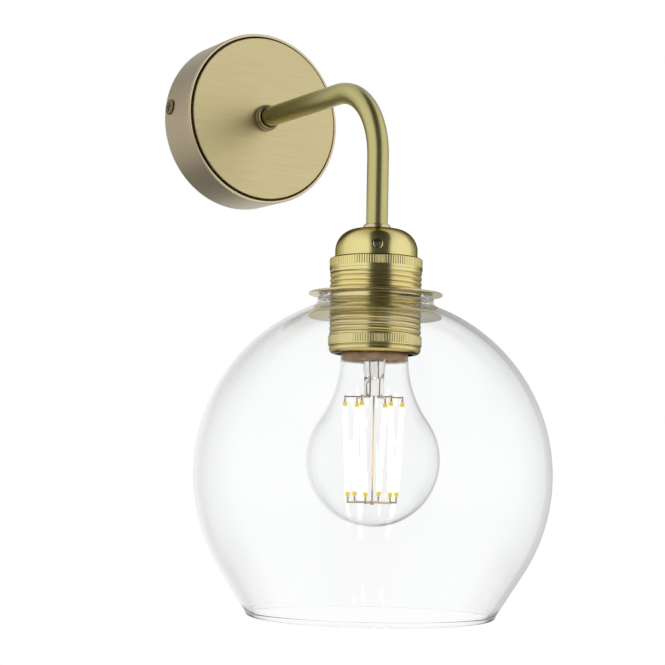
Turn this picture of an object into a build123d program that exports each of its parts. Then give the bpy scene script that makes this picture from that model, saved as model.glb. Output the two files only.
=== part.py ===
from build123d import *
import math
import os

# Wall lamp: a round rose on the wall, a bent arm, a brass lampholder with two shade rings,
# an open glass globe and a filament bulb.
# The wall is the plane y = 0 and the lamp stands out from it towards -Y.
# The origin is the centre of the rose on the wall, and +Z is up. All sizes are in millimetres.

# Fits
fit = 0.05                  # radial play between pieces that are fastened together
running = 0.3               # gap between pieces that move past each other

# Rose
rose_diameter = 87.0
rose_depth = 26.0
rim_wall = 1.2
lip_width = 1.5
lip_round = 0.6
web_thickness = 1.2
plate_thickness = 1.2
plate_depth = 3.0           # from the plate's face to the back of its turned edge
plate_proud = 1.1           # the plate's face stands this far out of the lip
plate_gap = 0.9             # open line between the plate and the lip
plate_round = 0.4
plate_boss_diameter = 20.0

# Wall bracket
bracket_thickness = 1.8
bracket_bar_height = 16.0
bracket_post_width = 30.0
bracket_post_up = 20.0
bracket_post_down = 35.0
bracket_corner = 3.0
bar_corner = 1.0
ear_depth = 12.0
ear_play = 0.4
cable_hole_diameter = 14.0
wall_hole_diameter = 4.5
wall_hole_spacing = 54.0

# Side screws of the rose
side_screw_diameter = 4.0
side_screw_head = 8.0
side_screw_head_height = 0.6
side_screw_length = 8.0
side_screw_setback = 5.5    # from the wall to the screw axis
side_screw_tilt = 5.0       # the left screw sits this many degrees above the level line
cross_recess_width = 0.9
cross_recess_depth = 0.4

# Terminal block and earth point in the rose
pole_pitch = 8.0
pole_count = 3
block_margin = 5.0
block_height = 14.0
block_depth = 12.0
block_top = -16.0
barrel_diameter = 5.0
barrel_bore = 3.2
clamp_screw_diameter = 2.6
clamp_screw_length = 5.2
clamp_slot_depth = 0.5
earth_screw_diameter = 4.0
earth_screw_head = 6.4
earth_screw_head_height = 2.4
earth_screw_x = 17.0
earth_tag_diameter = 8.0
earth_tag_thickness = 0.8
earth_lug_wall = 0.6

# Arm
arm_diameter = 10.0
arm_bore = 8.0
arm_reach = 130.0           # wall to lamp axis
arm_drop = 68.5             # rose axis to the top of the lampholder
arm_bend_radius = 35.0
arm_tail = 3.0              # thread left free behind the lock nut
arm_entry = 11.4            # length of the arm inside the lampholder cap
collar_diameter = 13.4
collar_length = 4.5
collar_step = 0.5
nut_across_flats = 14.0
nut_thickness = 4.0
washer_diameter = 17.0
washer_thickness = 0.8
ferrule_diameter = 12.6
ferrule_height = 2.3
ferrule_chamfer = 0.7

# Wires
wire_diameter = 2.2
wire_spacing = 3.2
wire_bend = 5.0
wire_turn = 3.0
wire_seat = 4.0             # length of a wire end inside its terminal
lead_out = 1.0              # straight run between the arm end and the first turn

# Lampholder cap
dome_diameter = 37.3
dome_height = 13.0
dome_shoulder = 10.0
union_diameter = 42.0
union_height = 5.8
union_slope = 1.2
cap_wall = 1.2
boss_diameter = 17.0
boss_length = 12.2
set_screw_diameter = 4.8
set_screw_socket = 2.6
set_screw_socket_depth = 2.5
set_screw_drop = 8.8        # below the top of the cap
set_screw_sink = 0.4
set_screw_azimuth = 32.0    # degrees from straight out of the wall, towards -X

# Lampholder skirt
thread_diameter = 41.5
thread_length = 29.8
skirt_wall = 0.9
neck_engagement = 2.0
band_diameter = 42.2
band_height = 4.7
band_chamfer = 0.5
lip_diameter = 41.4
lip_height = 3.4
lip_roll = 2.4
opening_diameter = 35.0

# Lampholder insert and contacts
insert_diameter = 34.0
insert_disc_depth = 10.3
insert_sleeve = 22.5
shell_bore_diameter = 26.9
shell_wall = 0.8
shell_length = 21.5
contact_strip_width = 6.0
contact_thickness = 0.6
contact_drop = 2.9
contact_pad = 4.0
terminal_spacing = 12.0
terminal_width = 5.0
terminal_height = 5.5
terminal_sink = 1.0
rivet_diameter = 2.0

# Shade rings
ring_diameter = 60.5
ring_thickness = 0.9
ring_round = 0.3

# Glass shade
shade_seat = 30.3           # top of the lampholder to the top of the glass
globe_diameter = 160.0
shade_wall = 2.2
shade_hole_diameter = 43.2
plateau_width = 4.6         # edge of the hole to the side of the raised top
plateau_height = 4.2        # how far the flat top stands above the globe's own curve
plateau_round = 1.6
plateau_foot = 3.0          # hollow round where the raised top meets the globe
cone_start = 32.5           # degrees below the equator where the wall runs straight
cone_length = 23.0
bead_diameter = 2.8

# Bulb
bulb_diameter = 60.0
bulb_length = 105.0
bulb_wall = 0.9
bulb_neck_diameter = 30.4
bulb_neck_straight = 2.0
bulb_base_length = 27.0     # tip of the bulb to the shoulder of its glass neck
bulb_tail_diameter = 24.6
bulb_tail = 4.5
base_diameter = 26.1
base_wall = 0.4
base_rim = 25.7             # tip of the bulb to the open edge of its metal base
base_shoulder = 7.0
insulator_diameter = 16.0
insulator_height = 4.2
tip_diameter = 9.6
tip_height = 1.7
driver_diameter = 20.0
driver_thickness = 1.2
driver_setback = 10.5
capacitor_diameter = 6.5
capacitor_length = 7.0
capacitor_offset = 5.5
stem_flare = 8.0
stem_diameter = 10.0
stem_length = 19.5
lead_diameter = 0.7
lead_spacing = 4.6
lead_drop = 0.6             # end of the stem to the level where the leads fan out
filament_count = 6
filament_diameter = 1.9
filament_top_gap = 2.9      # end of the stem to the top of the filaments
filament_top_radius = 13.0
filament_bottom_radius = 11.2
filament_angle = 32.0
filament_twist = 9.0
hub_diameter = 2.4
hub_drop = 2.6              # below the filaments
cage_clearance = 8.9        # hub to the bottom of the glass, inside
support_diameter = 0.8
weld_diameter = 1.1         # weld beads where wires meet

# Places that follow from the sizes above
rose_radius = rose_diameter / 2
rim_inside = rose_radius - rim_wall
lip_inside = rose_radius - lip_width
plate_front = rose_depth + plate_proud
web_front = plate_front - plate_depth
web_back = web_front - web_thickness
nut_front = web_back - washer_thickness
nut_back = nut_front - nut_thickness
arm_start = nut_back - arm_tail
arm_radius = arm_diameter / 2
arm_hole = arm_radius + fit

cap_top = -arm_drop
dome_base = cap_top - dome_height
union_base = dome_base - union_height
thread_base = union_base - thread_length
band_base = thread_base - band_height
skirt_base = band_base - lip_height
arm_end = cap_top - arm_entry

cap_step = dome_base - union_slope - cap_wall / 2
union_inside = union_diameter / 2 - cap_wall
neck_radius = union_inside - fit
neck_top = union_base + neck_engagement
disc_base = cap_step - insert_disc_depth
sleeve_base = disc_base - insert_sleeve
contact_low = disc_base - contact_thickness - contact_drop
bulb_tip = contact_low - running

ring_bore = thread_diameter / 2 + running
shade_top = cap_top - shade_seat
plateau_diameter = shade_hole_diameter + 2 * plateau_width
plateau_edge = shade_top - plateau_height
globe_centre = plateau_edge - math.sqrt((globe_diameter / 2) ** 2 - (plateau_diameter / 2) ** 2)
globe_inside = globe_diameter / 2 - shade_wall
upper_ring_base = shade_top + running
lower_ring_top = globe_centre + math.sqrt(globe_inside ** 2 - (ring_diameter / 2) ** 2) - running

bulb_radius = bulb_diameter / 2
bulb_bottom = bulb_tip - bulb_length
bulb_centre = bulb_bottom + bulb_radius
bulb_shoulder = bulb_tip - bulb_base_length
base_edge = bulb_tip - base_rim
stem_top = bulb_shoulder + bulb_tail / 2
stem_end = bulb_shoulder - stem_length
filament_top = stem_end - filament_top_gap
hub_level = bulb_bottom + bulb_wall + cage_clearance + hub_diameter / 2
filament_bottom = hub_level + hub_drop

block_middle = bracket_thickness + block_depth / 2
block_low = block_top - block_height
earth_level = bracket_thickness + wire_diameter / 2 + earth_lug_wall

lamp_axis = Pos(0, -arm_reach, 0)


# Helpers
def turned_on_rose(*corners):
    """Solid of revolution round the rose axis from (radius, distance from the wall) corners."""
    outline = [(radius, -out) for radius, out in corners]
    return revolve(make_face(Polyline(*outline, close=True)), Axis.Y)


def spun_on_lamp(outline, rounds=()):
    """Solid of revolution round the lamp axis from a closed outline drawn in (radius, height)."""
    face = make_face(outline)
    for corner, radius in rounds:
        face = fillet(face.vertices().sort_by_distance(corner)[0], radius)
    return lamp_axis * revolve(Plane.XZ * face, Axis.Z)


def turned_on_lamp(*corners):
    """Solid of revolution round the lamp axis from (radius, height) corners."""
    return spun_on_lamp(Polyline(*corners, close=True))


def rod(start, end, diameter):
    """Round bar between two points."""
    along = Vector(*end) - Vector(*start)
    return extrude(Plane(origin=start, z_dir=along) * Circle(diameter / 2), amount=along.length)


def block(width, depth, height, centre):
    """Box with its centre at a point."""
    return Pos(*centre) * Box(width, depth, height)


def wire_along(points, radii):
    """Insulated wire with tangent bends along a route."""
    route = FilletPolyline(*points, radius=radii)
    return sweep(Plane(origin=route @ 0, z_dir=route % 0) * Circle(wire_diameter / 2), path=route)


def around_lamp(radius, degrees, height):
    """Point beside the lamp axis."""
    angle = math.radians(degrees)
    return (radius * math.cos(angle), -arm_reach + radius * math.sin(angle), height)


# Rose
def side_screw_places():
    """The two places round the rim where a side screw points at the rose axis."""
    level = Pos(0, -side_screw_setback, 0)
    return [level * Rot(0, turn, 0) for turn in (180 + side_screw_tilt, side_screw_tilt)]


def make_rose_rim():
    """Drawn cup: outer wall, front lip, and a web behind the front plate."""
    cup = turned_on_rose(
        (arm_hole, web_front),
        (lip_inside, web_front),
        (lip_inside, rose_depth),
        (rose_radius - lip_round, rose_depth),
        (rose_radius, rose_depth - lip_round),
        (rose_radius, 0),
        (rim_inside, 0),
        (rim_inside, web_back),
        (arm_hole, web_back),
    )
    drill = Rot(0, 90, 0) * Cylinder(side_screw_diameter / 2 + 2 * fit, side_screw_length)
    for place in side_screw_places():
        cup -= place * Pos(rose_radius, 0, 0) * drill
    return cup


def make_rose_front_plate():
    """Shallow pan with a turned-back edge, clamped by the arm at the boss in its middle."""
    edge = lip_inside - plate_gap
    boss = plate_boss_diameter / 2
    sheet_back = plate_front - plate_thickness
    return turned_on_rose(
        (arm_hole, web_front),
        (boss, web_front),
        (boss, sheet_back),
        (edge - plate_thickness, sheet_back),
        (edge - plate_thickness, web_front),
        (edge, web_front),
        (edge, plate_front - plate_round),
        (edge - plate_round, plate_front),
        (arm_hole, plate_front),
    )


def make_side_screws():
    """Pan-head screws with a cross recess, through the rim into the bracket ears."""
    seat = rose_radius + fit
    shank = rod((seat - side_screw_length, 0, 0), (seat, 0, 0), side_screw_diameter)
    head = rod((seat, 0, 0), (seat + side_screw_head_height, 0, 0), side_screw_head)
    head = fillet(head.edges().sort_by(Axis.X)[-1], side_screw_head_height / 2)
    top = seat + side_screw_head_height
    slot = (2 * cross_recess_depth, cross_recess_width, side_screw_head / 2)
    recess = Pos(top, 0, 0) * (Box(*slot) + Rot(90, 0, 0) * Box(*slot))
    screw = shank + head - recess
    return [place * screw for place in side_screw_places()]


def make_wall_bracket():
    """Pressed steel cross with a bent ear at each end of its bar."""
    ear_outside = math.sqrt(rim_inside ** 2 - (bracket_bar_height / 2) ** 2) - ear_play
    bar = RectangleRounded(2 * ear_outside, bracket_bar_height, bar_corner)
    post_height = bracket_post_up + bracket_post_down
    post_middle = (bracket_post_up - bracket_post_down) / 2
    post = Pos(0, post_middle) * RectangleRounded(bracket_post_width, post_height, bracket_corner)
    holes = Circle(cable_hole_diameter / 2)
    holes += [Pos(side * wall_hole_spacing / 2, 0) * Circle(wall_hole_diameter / 2) for side in (-1, 1)]
    holes += Pos(earth_screw_x, 0) * Circle(earth_screw_diameter / 2 + fit)
    plate = extrude(Plane.XZ * (bar + post - holes), amount=bracket_thickness)
    ear_centre = ear_outside - bracket_thickness / 2
    for side in (-1, 1):
        plate += block(
            bracket_thickness, ear_depth, bracket_bar_height, (side * ear_centre, -ear_depth / 2, 0)
        )
    tap = Rot(0, 90, 0) * Cylinder(side_screw_diameter / 2 + fit, 2 * side_screw_length)
    for place in side_screw_places():
        plate -= place * Pos(rose_radius, 0, 0) * tap
    return plate


# Terminals in the rose
def pole_places():
    """Left edge to right edge, one x for each pole of the terminal block."""
    return [pole_pitch * (pole - (pole_count - 1) / 2) for pole in range(pole_count)]


def make_terminal_block():
    """Insulating block with a barrel bore and a screw well at each pole."""
    width = pole_pitch * (pole_count - 1) + 2 * block_margin
    body = block(width, block_depth, block_height, (0, -block_middle, block_top - block_height / 2))
    for x in pole_places():
        body -= rod((x, -block_middle, block_low), (x, -block_middle, block_top), barrel_diameter + 2 * fit)
        for level in clamp_screw_levels():
            well = (x, -block_middle - block_depth / 2, level)
            body -= rod((x, -block_middle, level), well, clamp_screw_diameter + 4 * fit)
    return body


def clamp_screw_levels():
    """One clamp screw near each end of a barrel."""
    middle = block_top - block_height / 2
    return [middle - block_height / 4, middle + block_height / 4]


def make_terminal_barrels():
    """Brass barrels of the terminal block, tapped for the clamp screws."""
    barrels = []
    for x in pole_places():
        barrel = rod((x, -block_middle, block_low), (x, -block_middle, block_top), barrel_diameter)
        barrel -= rod((x, -block_middle, block_low), (x, -block_middle, block_top), barrel_bore)
        for level in clamp_screw_levels():
            tap_end = (x, -block_middle - barrel_diameter, level)
            barrel -= rod((x, -block_middle, level), tap_end, clamp_screw_diameter + 2 * fit)
        barrels.append(barrel)
    return barrels


def make_terminal_screws():
    """Slotted clamp screws that hold the wires in the barrels."""
    screws = []
    inner = block_middle + barrel_bore / 2 - fit
    outer = inner + clamp_screw_length
    slot = (clamp_screw_diameter, 2 * clamp_slot_depth, clamp_screw_diameter / 4)
    for x in pole_places():
        for level in clamp_screw_levels():
            screw = rod((x, -inner, level), (x, -outer, level), clamp_screw_diameter)
            screws.append(screw - block(*slot, (x, -outer, level)))
    return screws


def make_earth_tag():
    """Ring tag under the earth screw, with a short barrel that grips the earth wire."""
    seat = bracket_thickness
    tag = rod(
        (earth_screw_x, -seat, 0), (earth_screw_x, -seat - earth_tag_thickness, 0), earth_tag_diameter
    )
    tag -= rod(
        (earth_screw_x, -seat, 0),
        (earth_screw_x, -seat - earth_tag_thickness, 0),
        earth_screw_diameter + 2 * fit,
    )
    tag_edge = earth_tag_diameter / 2
    low = (earth_screw_x, -earth_level, -tag_edge - wire_seat)
    edge = (earth_screw_x, -earth_level, -tag_edge)
    high = (earth_screw_x, -earth_level, earth_lug_wall - tag_edge)
    lug = rod(low, high, wire_diameter + 2 * earth_lug_wall) - rod(low, edge, wire_diameter + 2 * fit)
    return tag + lug


def make_earth_screw():
    """Pan-head screw that bonds the earth wire to the bracket."""
    head_seat = bracket_thickness + earth_tag_thickness
    shank = rod((earth_screw_x, 0, 0), (earth_screw_x, -head_seat, 0), earth_screw_diameter)
    head = rod(
        (earth_screw_x, -head_seat, 0),
        (earth_screw_x, -head_seat - earth_screw_head_height, 0),
        earth_screw_head,
    )
    return shank + head


# Arm
def make_arm_tube():
    """Bent brass tube, threaded at both ends on the real lamp."""
    corner = (0, -arm_reach, 0)
    path = FilletPolyline((0, -arm_start, 0), corner, (0, -arm_reach, arm_end), radius=arm_bend_radius)
    section = Plane(origin=path @ 0, z_dir=path % 0)
    outside = sweep(section * Circle(arm_diameter / 2), path=path)
    inside = sweep(section * Circle(arm_bore / 2), path=path)
    return outside - inside


def make_arm_collar():
    """Stepped trim collar where the arm leaves the front plate."""
    outer = collar_diameter / 2
    middle = plate_front + collar_length / 2
    front = plate_front + collar_length
    return turned_on_rose(
        (arm_hole, plate_front),
        (outer, plate_front),
        (outer, middle),
        (outer - collar_step, middle),
        (outer - collar_step, front - collar_step),
        (outer - 2 * collar_step, front),
        (arm_hole, front),
    )


def make_lock_washer():
    """Plain ring between the web and the lock nut."""
    outer = washer_diameter / 2
    return turned_on_rose((arm_hole, nut_front), (outer, nut_front), (outer, web_back), (arm_hole, web_back))


def make_arm_lock_nut():
    """Hexagon nut that clamps collar, plate and rim together."""
    hexagon = RegularPolygon(nut_across_flats / 2, 6, major_radius=False) - Circle(arm_hole)
    return Pos(0, -nut_back, 0) * extrude(Plane.XZ * hexagon, amount=nut_thickness)


def make_arm_ferrule():
    """Small ring that covers the thread where the arm meets the lampholder."""
    outer = ferrule_diameter / 2
    high = cap_top + ferrule_height
    return turned_on_lamp(
        (arm_hole, cap_top),
        (outer, cap_top),
        (outer, high - ferrule_chamfer),
        (outer - ferrule_chamfer, high),
        (arm_hole, high),
    )


# Wires
def supply_wire(pole, side):
    """Wire from one pole of the block, through the arm, to one terminal of the lampholder."""
    x_block = pole_places()[pole]
    x_arm = side * wire_spacing / 2
    x_lamp = side * terminal_spacing / 2
    turn_in = arm_start - wire_bend
    fan_out = arm_end - lead_out
    terminal_top = cap_step - terminal_sink
    points = [
        (x_block, -block_middle, block_top - wire_seat),
        (x_block, -block_middle, block_top + wire_bend / 2),
        (x_arm, -turn_in, -wire_bend - wire_turn / 2),
        (x_arm, -turn_in, 0),
        (x_arm, -arm_reach, 0),
        (x_arm, -arm_reach, fan_out),
        (x_lamp, -arm_reach, terminal_top + lead_out),
        (x_lamp, -arm_reach, terminal_top - wire_seat / 2),
    ]
    fan = wire_turn / 2
    return wire_along(points, [wire_turn, wire_turn, wire_bend, arm_bend_radius, fan, fan])


def make_wire_earth():
    """Short wire from the third pole of the block to the earth tag."""
    x_block = pole_places()[-1]
    tag_low = -earth_tag_diameter / 2 - wire_seat
    points = [
        (x_block, -block_middle, block_top - wire_seat),
        (x_block, -block_middle, block_top + wire_turn),
        (earth_screw_x, -earth_level, tag_low - wire_turn),
        (earth_screw_x, -earth_level, -earth_tag_diameter / 2),
    ]
    return wire_along(points, [wire_turn, wire_turn])


# Lampholder
def dome_outline(inset):
    """Half outline of the dome, moved inwards by a wall."""
    flat = dome_diameter / 2 - dome_shoulder
    side = dome_diameter / 2 - inset
    top = cap_top - inset
    shoulder_low = cap_top - dome_shoulder
    bend = CenterArc((flat, shoulder_low), dome_shoulder - inset, 0, 90)
    return bend, flat, side, top


def make_lampholder_cap():
    """Spun dome with a wider union collar, a threaded boss inside and a side screw hole."""
    bend, flat, side, top = dome_outline(0)
    edge = union_diameter / 2
    outside = spun_on_lamp([
        Polyline((0, union_base), (0, top), (flat, top)),
        bend,
        Polyline(
            (side, cap_top - dome_shoulder),
            (side, dome_base),
            (edge, dome_base - union_slope),
            (edge, union_base),
            (0, union_base),
        ),
    ])
    bend, flat, side, top = dome_outline(cap_wall)
    inside = spun_on_lamp([
        Polyline((0, union_base), (0, top), (flat, top)),
        bend,
        Polyline(
            (side, cap_top - dome_shoulder),
            (side, cap_step),
            (union_inside, cap_step),
            (union_inside, union_base),
            (0, union_base),
        ),
    ])
    boss = turned_on_lamp(
        (0, cap_top - cap_wall / 2),
        (boss_diameter / 2, cap_top - cap_wall / 2),
        (boss_diameter / 2, cap_top - boss_length),
        (0, cap_top - boss_length),
    )
    cap = outside - inside + boss
    cap -= rod((0, -arm_reach, cap_top), (0, -arm_reach, cap_top - boss_length), 2 * arm_hole)
    return cap - set_screw_bar(arm_radius, dome_diameter, set_screw_diameter + 2 * fit)


def set_screw_bar(inner, outer, diameter):
    """Round bar along the set screw's axis between two distances from the lamp axis."""
    heading = -90 - set_screw_azimuth
    level = cap_top - set_screw_drop
    return rod(around_lamp(inner, heading, level), around_lamp(outer, heading, level), diameter)


def make_cap_set_screw():
    """Grub screw that locks the cap on the arm, with a hexagon socket."""
    below_shoulder = max(dome_shoulder - set_screw_drop, 0)
    wall_here = dome_diameter / 2 - dome_shoulder + math.sqrt(dome_shoulder ** 2 - below_shoulder ** 2)
    outer_end = wall_here - set_screw_sink
    heading = -90 - set_screw_azimuth
    level = cap_top - set_screw_drop
    end = around_lamp(outer_end, heading, level)
    inward = Vector(*around_lamp(0, heading, level)) - Vector(*end)
    hexagon = RegularPolygon(set_screw_socket / 2, 6, major_radius=False)
    socket = extrude(Plane(origin=end, z_dir=inward) * hexagon, amount=set_screw_socket_depth)
    return set_screw_bar(arm_radius + fit, outer_end, set_screw_diameter) - socket


def make_lampholder_skirt():
    """Threaded barrel with a neck that goes into the cap, a lower band and a rolled-in lip."""
    thread = thread_diameter / 2
    band = band_diameter / 2
    lip = lip_diameter / 2
    opening = opening_diameter / 2
    inner = thread - skirt_wall
    roll_start = lip - lip_roll
    return spun_on_lamp([
        Polyline(
            (neck_radius - skirt_wall, neck_top),
            (neck_radius, neck_top),
            (neck_radius, union_base),
            (thread, union_base),
            (thread, thread_base),
            (band, thread_base - band_chamfer),
            (band, band_base),
            (lip, band_base),
            (lip, skirt_base + lip_roll),
        ),
        CenterArc((roll_start, skirt_base + lip_roll), lip_roll, -90, 90),
        Polyline(
            (roll_start, skirt_base),
            (opening, skirt_base),
            (opening, skirt_base + skirt_wall),
            (roll_start, skirt_base + skirt_wall),
            (inner, skirt_base + lip_roll),
            (inner, union_base - skirt_wall),
            (neck_radius - skirt_wall, union_base - skirt_wall),
            (neck_radius - skirt_wall, neck_top),
        ),
    ])


def terminal_centre(side):
    """Middle of one wire terminal, sunk in the top of the insert."""
    return (side * terminal_spacing / 2, -arm_reach, cap_step - terminal_sink - terminal_height / 2)


def rivet_bar(side, diameter):
    """Bar from a terminal down to the contacts below the insert."""
    x, y, z = terminal_centre(side)
    return rod((x, y, z - terminal_height / 2), (x, y, disc_base - contact_thickness), diameter)


def make_lampholder_insert():
    """Ceramic body: clamped flange, terminal pockets on top, sleeve for the bulb base below."""
    body = insert_diameter / 2
    bore = shell_bore_diameter / 2 + shell_wall + fit
    insert = turned_on_lamp(
        (0, cap_step),
        (neck_radius, cap_step),
        (neck_radius, neck_top),
        (body, neck_top),
        (body, sleeve_base),
        (bore, sleeve_base),
        (bore, disc_base),
        (0, disc_base),
    )
    for side in (-1, 1):
        x, y, z = terminal_centre(side)
        pocket = terminal_width + 2 * fit
        depth = terminal_height + terminal_sink
        insert -= block(pocket, pocket, depth, (x, y, cap_step - depth / 2))
        insert -= rivet_bar(side, rivet_diameter + 2 * fit)
    return insert


def make_holder_terminals():
    """Two brass blocks in the insert that take the wire ends."""
    terminals = []
    for side in (-1, 1):
        x, y, z = terminal_centre(side)
        top = z + terminal_height / 2
        body = block(terminal_width, terminal_width, terminal_height, (x, y, z))
        body -= rod((x, y, top - wire_seat), (x, y, top), wire_diameter + 2 * fit)
        terminals.append(body)
    return terminals


def make_contact_rivets():
    """Rivets that join the terminals to the contacts."""
    return [rivet_bar(side, rivet_diameter) for side in (-1, 1)]


def make_shell_contact():
    """Metal sleeve that takes the bulb's base, with a tab to its rivet."""
    bore = shell_bore_diameter / 2
    wall = bore + shell_wall
    low = disc_base - shell_length
    sleeve = turned_on_lamp((bore, disc_base), (wall, disc_base), (wall, low), (bore, low))
    tab_start = -terminal_spacing / 2 + contact_strip_width / 2
    tab_end = -bore - shell_wall / 2
    tab = block(
        tab_start - tab_end,
        contact_strip_width,
        contact_thickness,
        ((tab_start + tab_end) / 2, -arm_reach, disc_base - contact_thickness / 2),
    )
    return sleeve + tab - rivet_bar(-1, rivet_diameter + 2 * fit)


def make_centre_contact():
    """Springy strip, bent down to meet the tip of the bulb."""
    root = terminal_spacing / 2
    far = root + contact_strip_width / 2
    near = root - contact_strip_width / 2
    low = disc_base - contact_drop
    pad = contact_pad / 2
    strip = Polyline(
        (far, disc_base),
        (near, disc_base),
        (pad, low),
        (-pad, low),
        (-pad, low - contact_thickness),
        (pad, low - contact_thickness),
        (near, disc_base - contact_thickness),
        (far, disc_base - contact_thickness),
        close=True,
    )
    leaf = extrude(Plane.XZ * make_face(strip), amount=contact_strip_width / 2, both=True)
    return lamp_axis * leaf - rivet_bar(1, rivet_diameter + 2 * fit)


# Shade and its rings
def shade_ring(base):
    """Flat threaded ring with softened outer edges."""
    outer = ring_diameter / 2
    high = base + ring_thickness
    return turned_on_lamp(
        (ring_bore, base),
        (outer - ring_round, base),
        (outer, base + ring_round),
        (outer, high - ring_round),
        (outer - ring_round, high),
        (ring_bore, high),
    )


def globe_point(radius, degrees):
    """Point on a circle round the globe's centre, in (radius, height)."""
    angle = math.radians(degrees)
    return (radius * math.cos(angle), globe_centre + radius * math.sin(angle))


def shade_mouth(radius):
    """Where the straight wall that leaves a circle of this radius ends at the open rim."""
    x, z = globe_point(radius, -cone_start)
    slope = math.radians(cone_start)
    return (x - cone_length * math.sin(slope), z - cone_length * math.cos(slope))


def make_glass_shade():
    """Blown globe: raised flat top round the hole, straight lower wall and a fire-polished bead."""
    outside = globe_diameter / 2
    hole = shade_hole_diameter / 2
    plateau = plateau_diameter / 2
    inner_plateau = plateau - shade_wall
    ceiling = shade_top - shade_wall
    inner_join = globe_centre + math.sqrt(globe_inside ** 2 - inner_plateau ** 2)
    rounds = [((plateau, plateau_edge), plateau_foot), ((inner_plateau, inner_join), plateau_foot)]
    outline = [
        Polyline((hole, ceiling), (hole, shade_top), (plateau - plateau_round, shade_top)),
        CenterArc((plateau - plateau_round, shade_top - plateau_round), plateau_round, 0, 90),
        Line((plateau, shade_top - plateau_round), (plateau, plateau_edge)),
        ThreePointArc((plateau, plateau_edge), globe_point(outside, 0), globe_point(outside, -cone_start)),
        Polyline(
            globe_point(outside, -cone_start),
            shade_mouth(outside),
            shade_mouth(globe_inside),
            globe_point(globe_inside, -cone_start),
        ),
        ThreePointArc(
            globe_point(globe_inside, -cone_start), globe_point(globe_inside, 0), (inner_plateau, inner_join)
        ),
        Polyline((inner_plateau, inner_join), (inner_plateau, ceiling), (hole, ceiling)),
    ]
    glass = spun_on_lamp(outline, rounds)
    bead = spun_on_lamp(Pos(*shade_mouth(outside - shade_wall / 2)) * Circle(bead_diameter / 2))
    return glass + bead


# Bulb
def bulb_outline(inset):
    """Closed half outline of the bulb, moved inwards by a wall: ball, flare and neck."""
    ball = bulb_radius - inset
    neck = bulb_neck_diameter / 2
    flare_level = bulb_shoulder - bulb_neck_straight
    rise = flare_level - bulb_centre
    flare = (neck ** 2 + rise ** 2 - bulb_radius ** 2) / (2 * (bulb_radius - neck))
    angle = math.atan2(rise, neck + flare)
    joint = (ball * math.cos(angle), bulb_centre + ball * math.sin(angle))
    middle = angle / 2
    bend = flare + inset
    flare_middle = (neck + flare - bend * math.cos(middle), flare_level - bend * math.sin(middle))
    tail = bulb_tail_diameter / 2 - inset
    top = bulb_shoulder + bulb_tail
    return [
        Line((0, top), (0, bulb_centre - ball)),
        ThreePointArc((0, bulb_centre - ball), (ball, bulb_centre), joint),
        ThreePointArc(joint, flare_middle, (neck - inset, flare_level)),
        Polyline(
            (neck - inset, flare_level),
            (neck - inset, bulb_shoulder - inset),
            (tail, bulb_shoulder + (neck - inset - tail) / 2 - inset),
            (tail, top),
            (0, top),
        ),
    ]


def make_bulb_glass():
    """Blown envelope, open at the tail where the stem closes it."""
    return spun_on_lamp(bulb_outline(0)) - spun_on_lamp(bulb_outline(bulb_wall))


def make_bulb_base():
    """Metal screw base of the bulb, with a sloping shoulder at its top."""
    outer = base_diameter / 2
    shoulder = bulb_tip - base_shoulder
    eye = insulator_diameter / 2
    eye_level = bulb_tip - tip_height - insulator_height
    return turned_on_lamp(
        (eye, eye_level),
        (outer, shoulder),
        (outer, base_edge),
        (outer - base_wall, base_edge),
        (outer - base_wall, shoulder - base_wall),
        (eye, eye_level - base_wall),
    )


def make_bulb_insulator():
    """Dark insulating cone between base and tip contact."""
    eye_level = bulb_tip - tip_height - insulator_height
    low = eye_level - base_wall
    return turned_on_lamp(
        (0, low),
        (insulator_diameter / 2 - fit, low),
        (insulator_diameter / 2 - fit, eye_level),
        (tip_diameter / 2, bulb_tip - tip_height),
        (0, bulb_tip - tip_height),
    )


def make_bulb_tip_contact():
    """Soldered tip contact."""
    edge = tip_diameter / 2
    low = bulb_tip - tip_height
    return turned_on_lamp((0, low), (edge, low), (edge - tip_height / 2, bulb_tip), (0, bulb_tip))


def make_bulb_driver():
    """Small round board with a capacitor, inside the metal base."""
    board = bulb_tip - driver_setback
    body = rod((0, -arm_reach, board), (0, -arm_reach, board - driver_thickness), driver_diameter)
    can_top = board - driver_thickness
    can_y = capacitor_offset - arm_reach
    body += rod((0, can_y, can_top), (0, can_y, can_top - capacitor_length), capacitor_diameter)
    return body


def lead_points():
    """Where the two lead wires stand in the stem."""
    return [(side * lead_spacing / 2, -arm_reach) for side in (-1, 1)]


def make_bulb_stem():
    """Glass stem: a flare that closes the neck and a pressed end that holds the leads."""
    flare = bulb_tail_diameter / 2 - bulb_wall - fit
    shaft = stem_diameter / 2
    flare_low = stem_top - stem_flare
    stem = spun_on_lamp([
        Polyline((0, stem_top), (flare, stem_top)),
        ThreePointArc((flare, stem_top), (shaft + (flare - shaft) / 4, stem_top - stem_flare / 2),
                      (shaft, flare_low)),
        Polyline((shaft, flare_low), (shaft, stem_end), (0, stem_end), (0, stem_top)),
    ])
    for x, y in lead_points():
        stem -= rod((x, y, stem_end), (x, y, stem_top), lead_diameter + 2 * fit)
    return stem


def filament_ends(index):
    """Top and bottom of one filament of the slightly twisted cage."""
    angle = filament_angle + 360 / filament_count * index
    top = around_lamp(filament_top_radius, angle, filament_top)
    bottom = around_lamp(filament_bottom_radius, angle + filament_twist, filament_bottom)
    return top, bottom


def make_bulb_filaments():
    """Straight coated filaments in a cage round the stem axis."""
    return [rod(*filament_ends(index), filament_diameter) for index in range(filament_count)]


def weld(place):
    """Weld bead, a little wider than the wires that it joins."""
    return Pos(*place) * Sphere(weld_diameter / 2)


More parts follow.
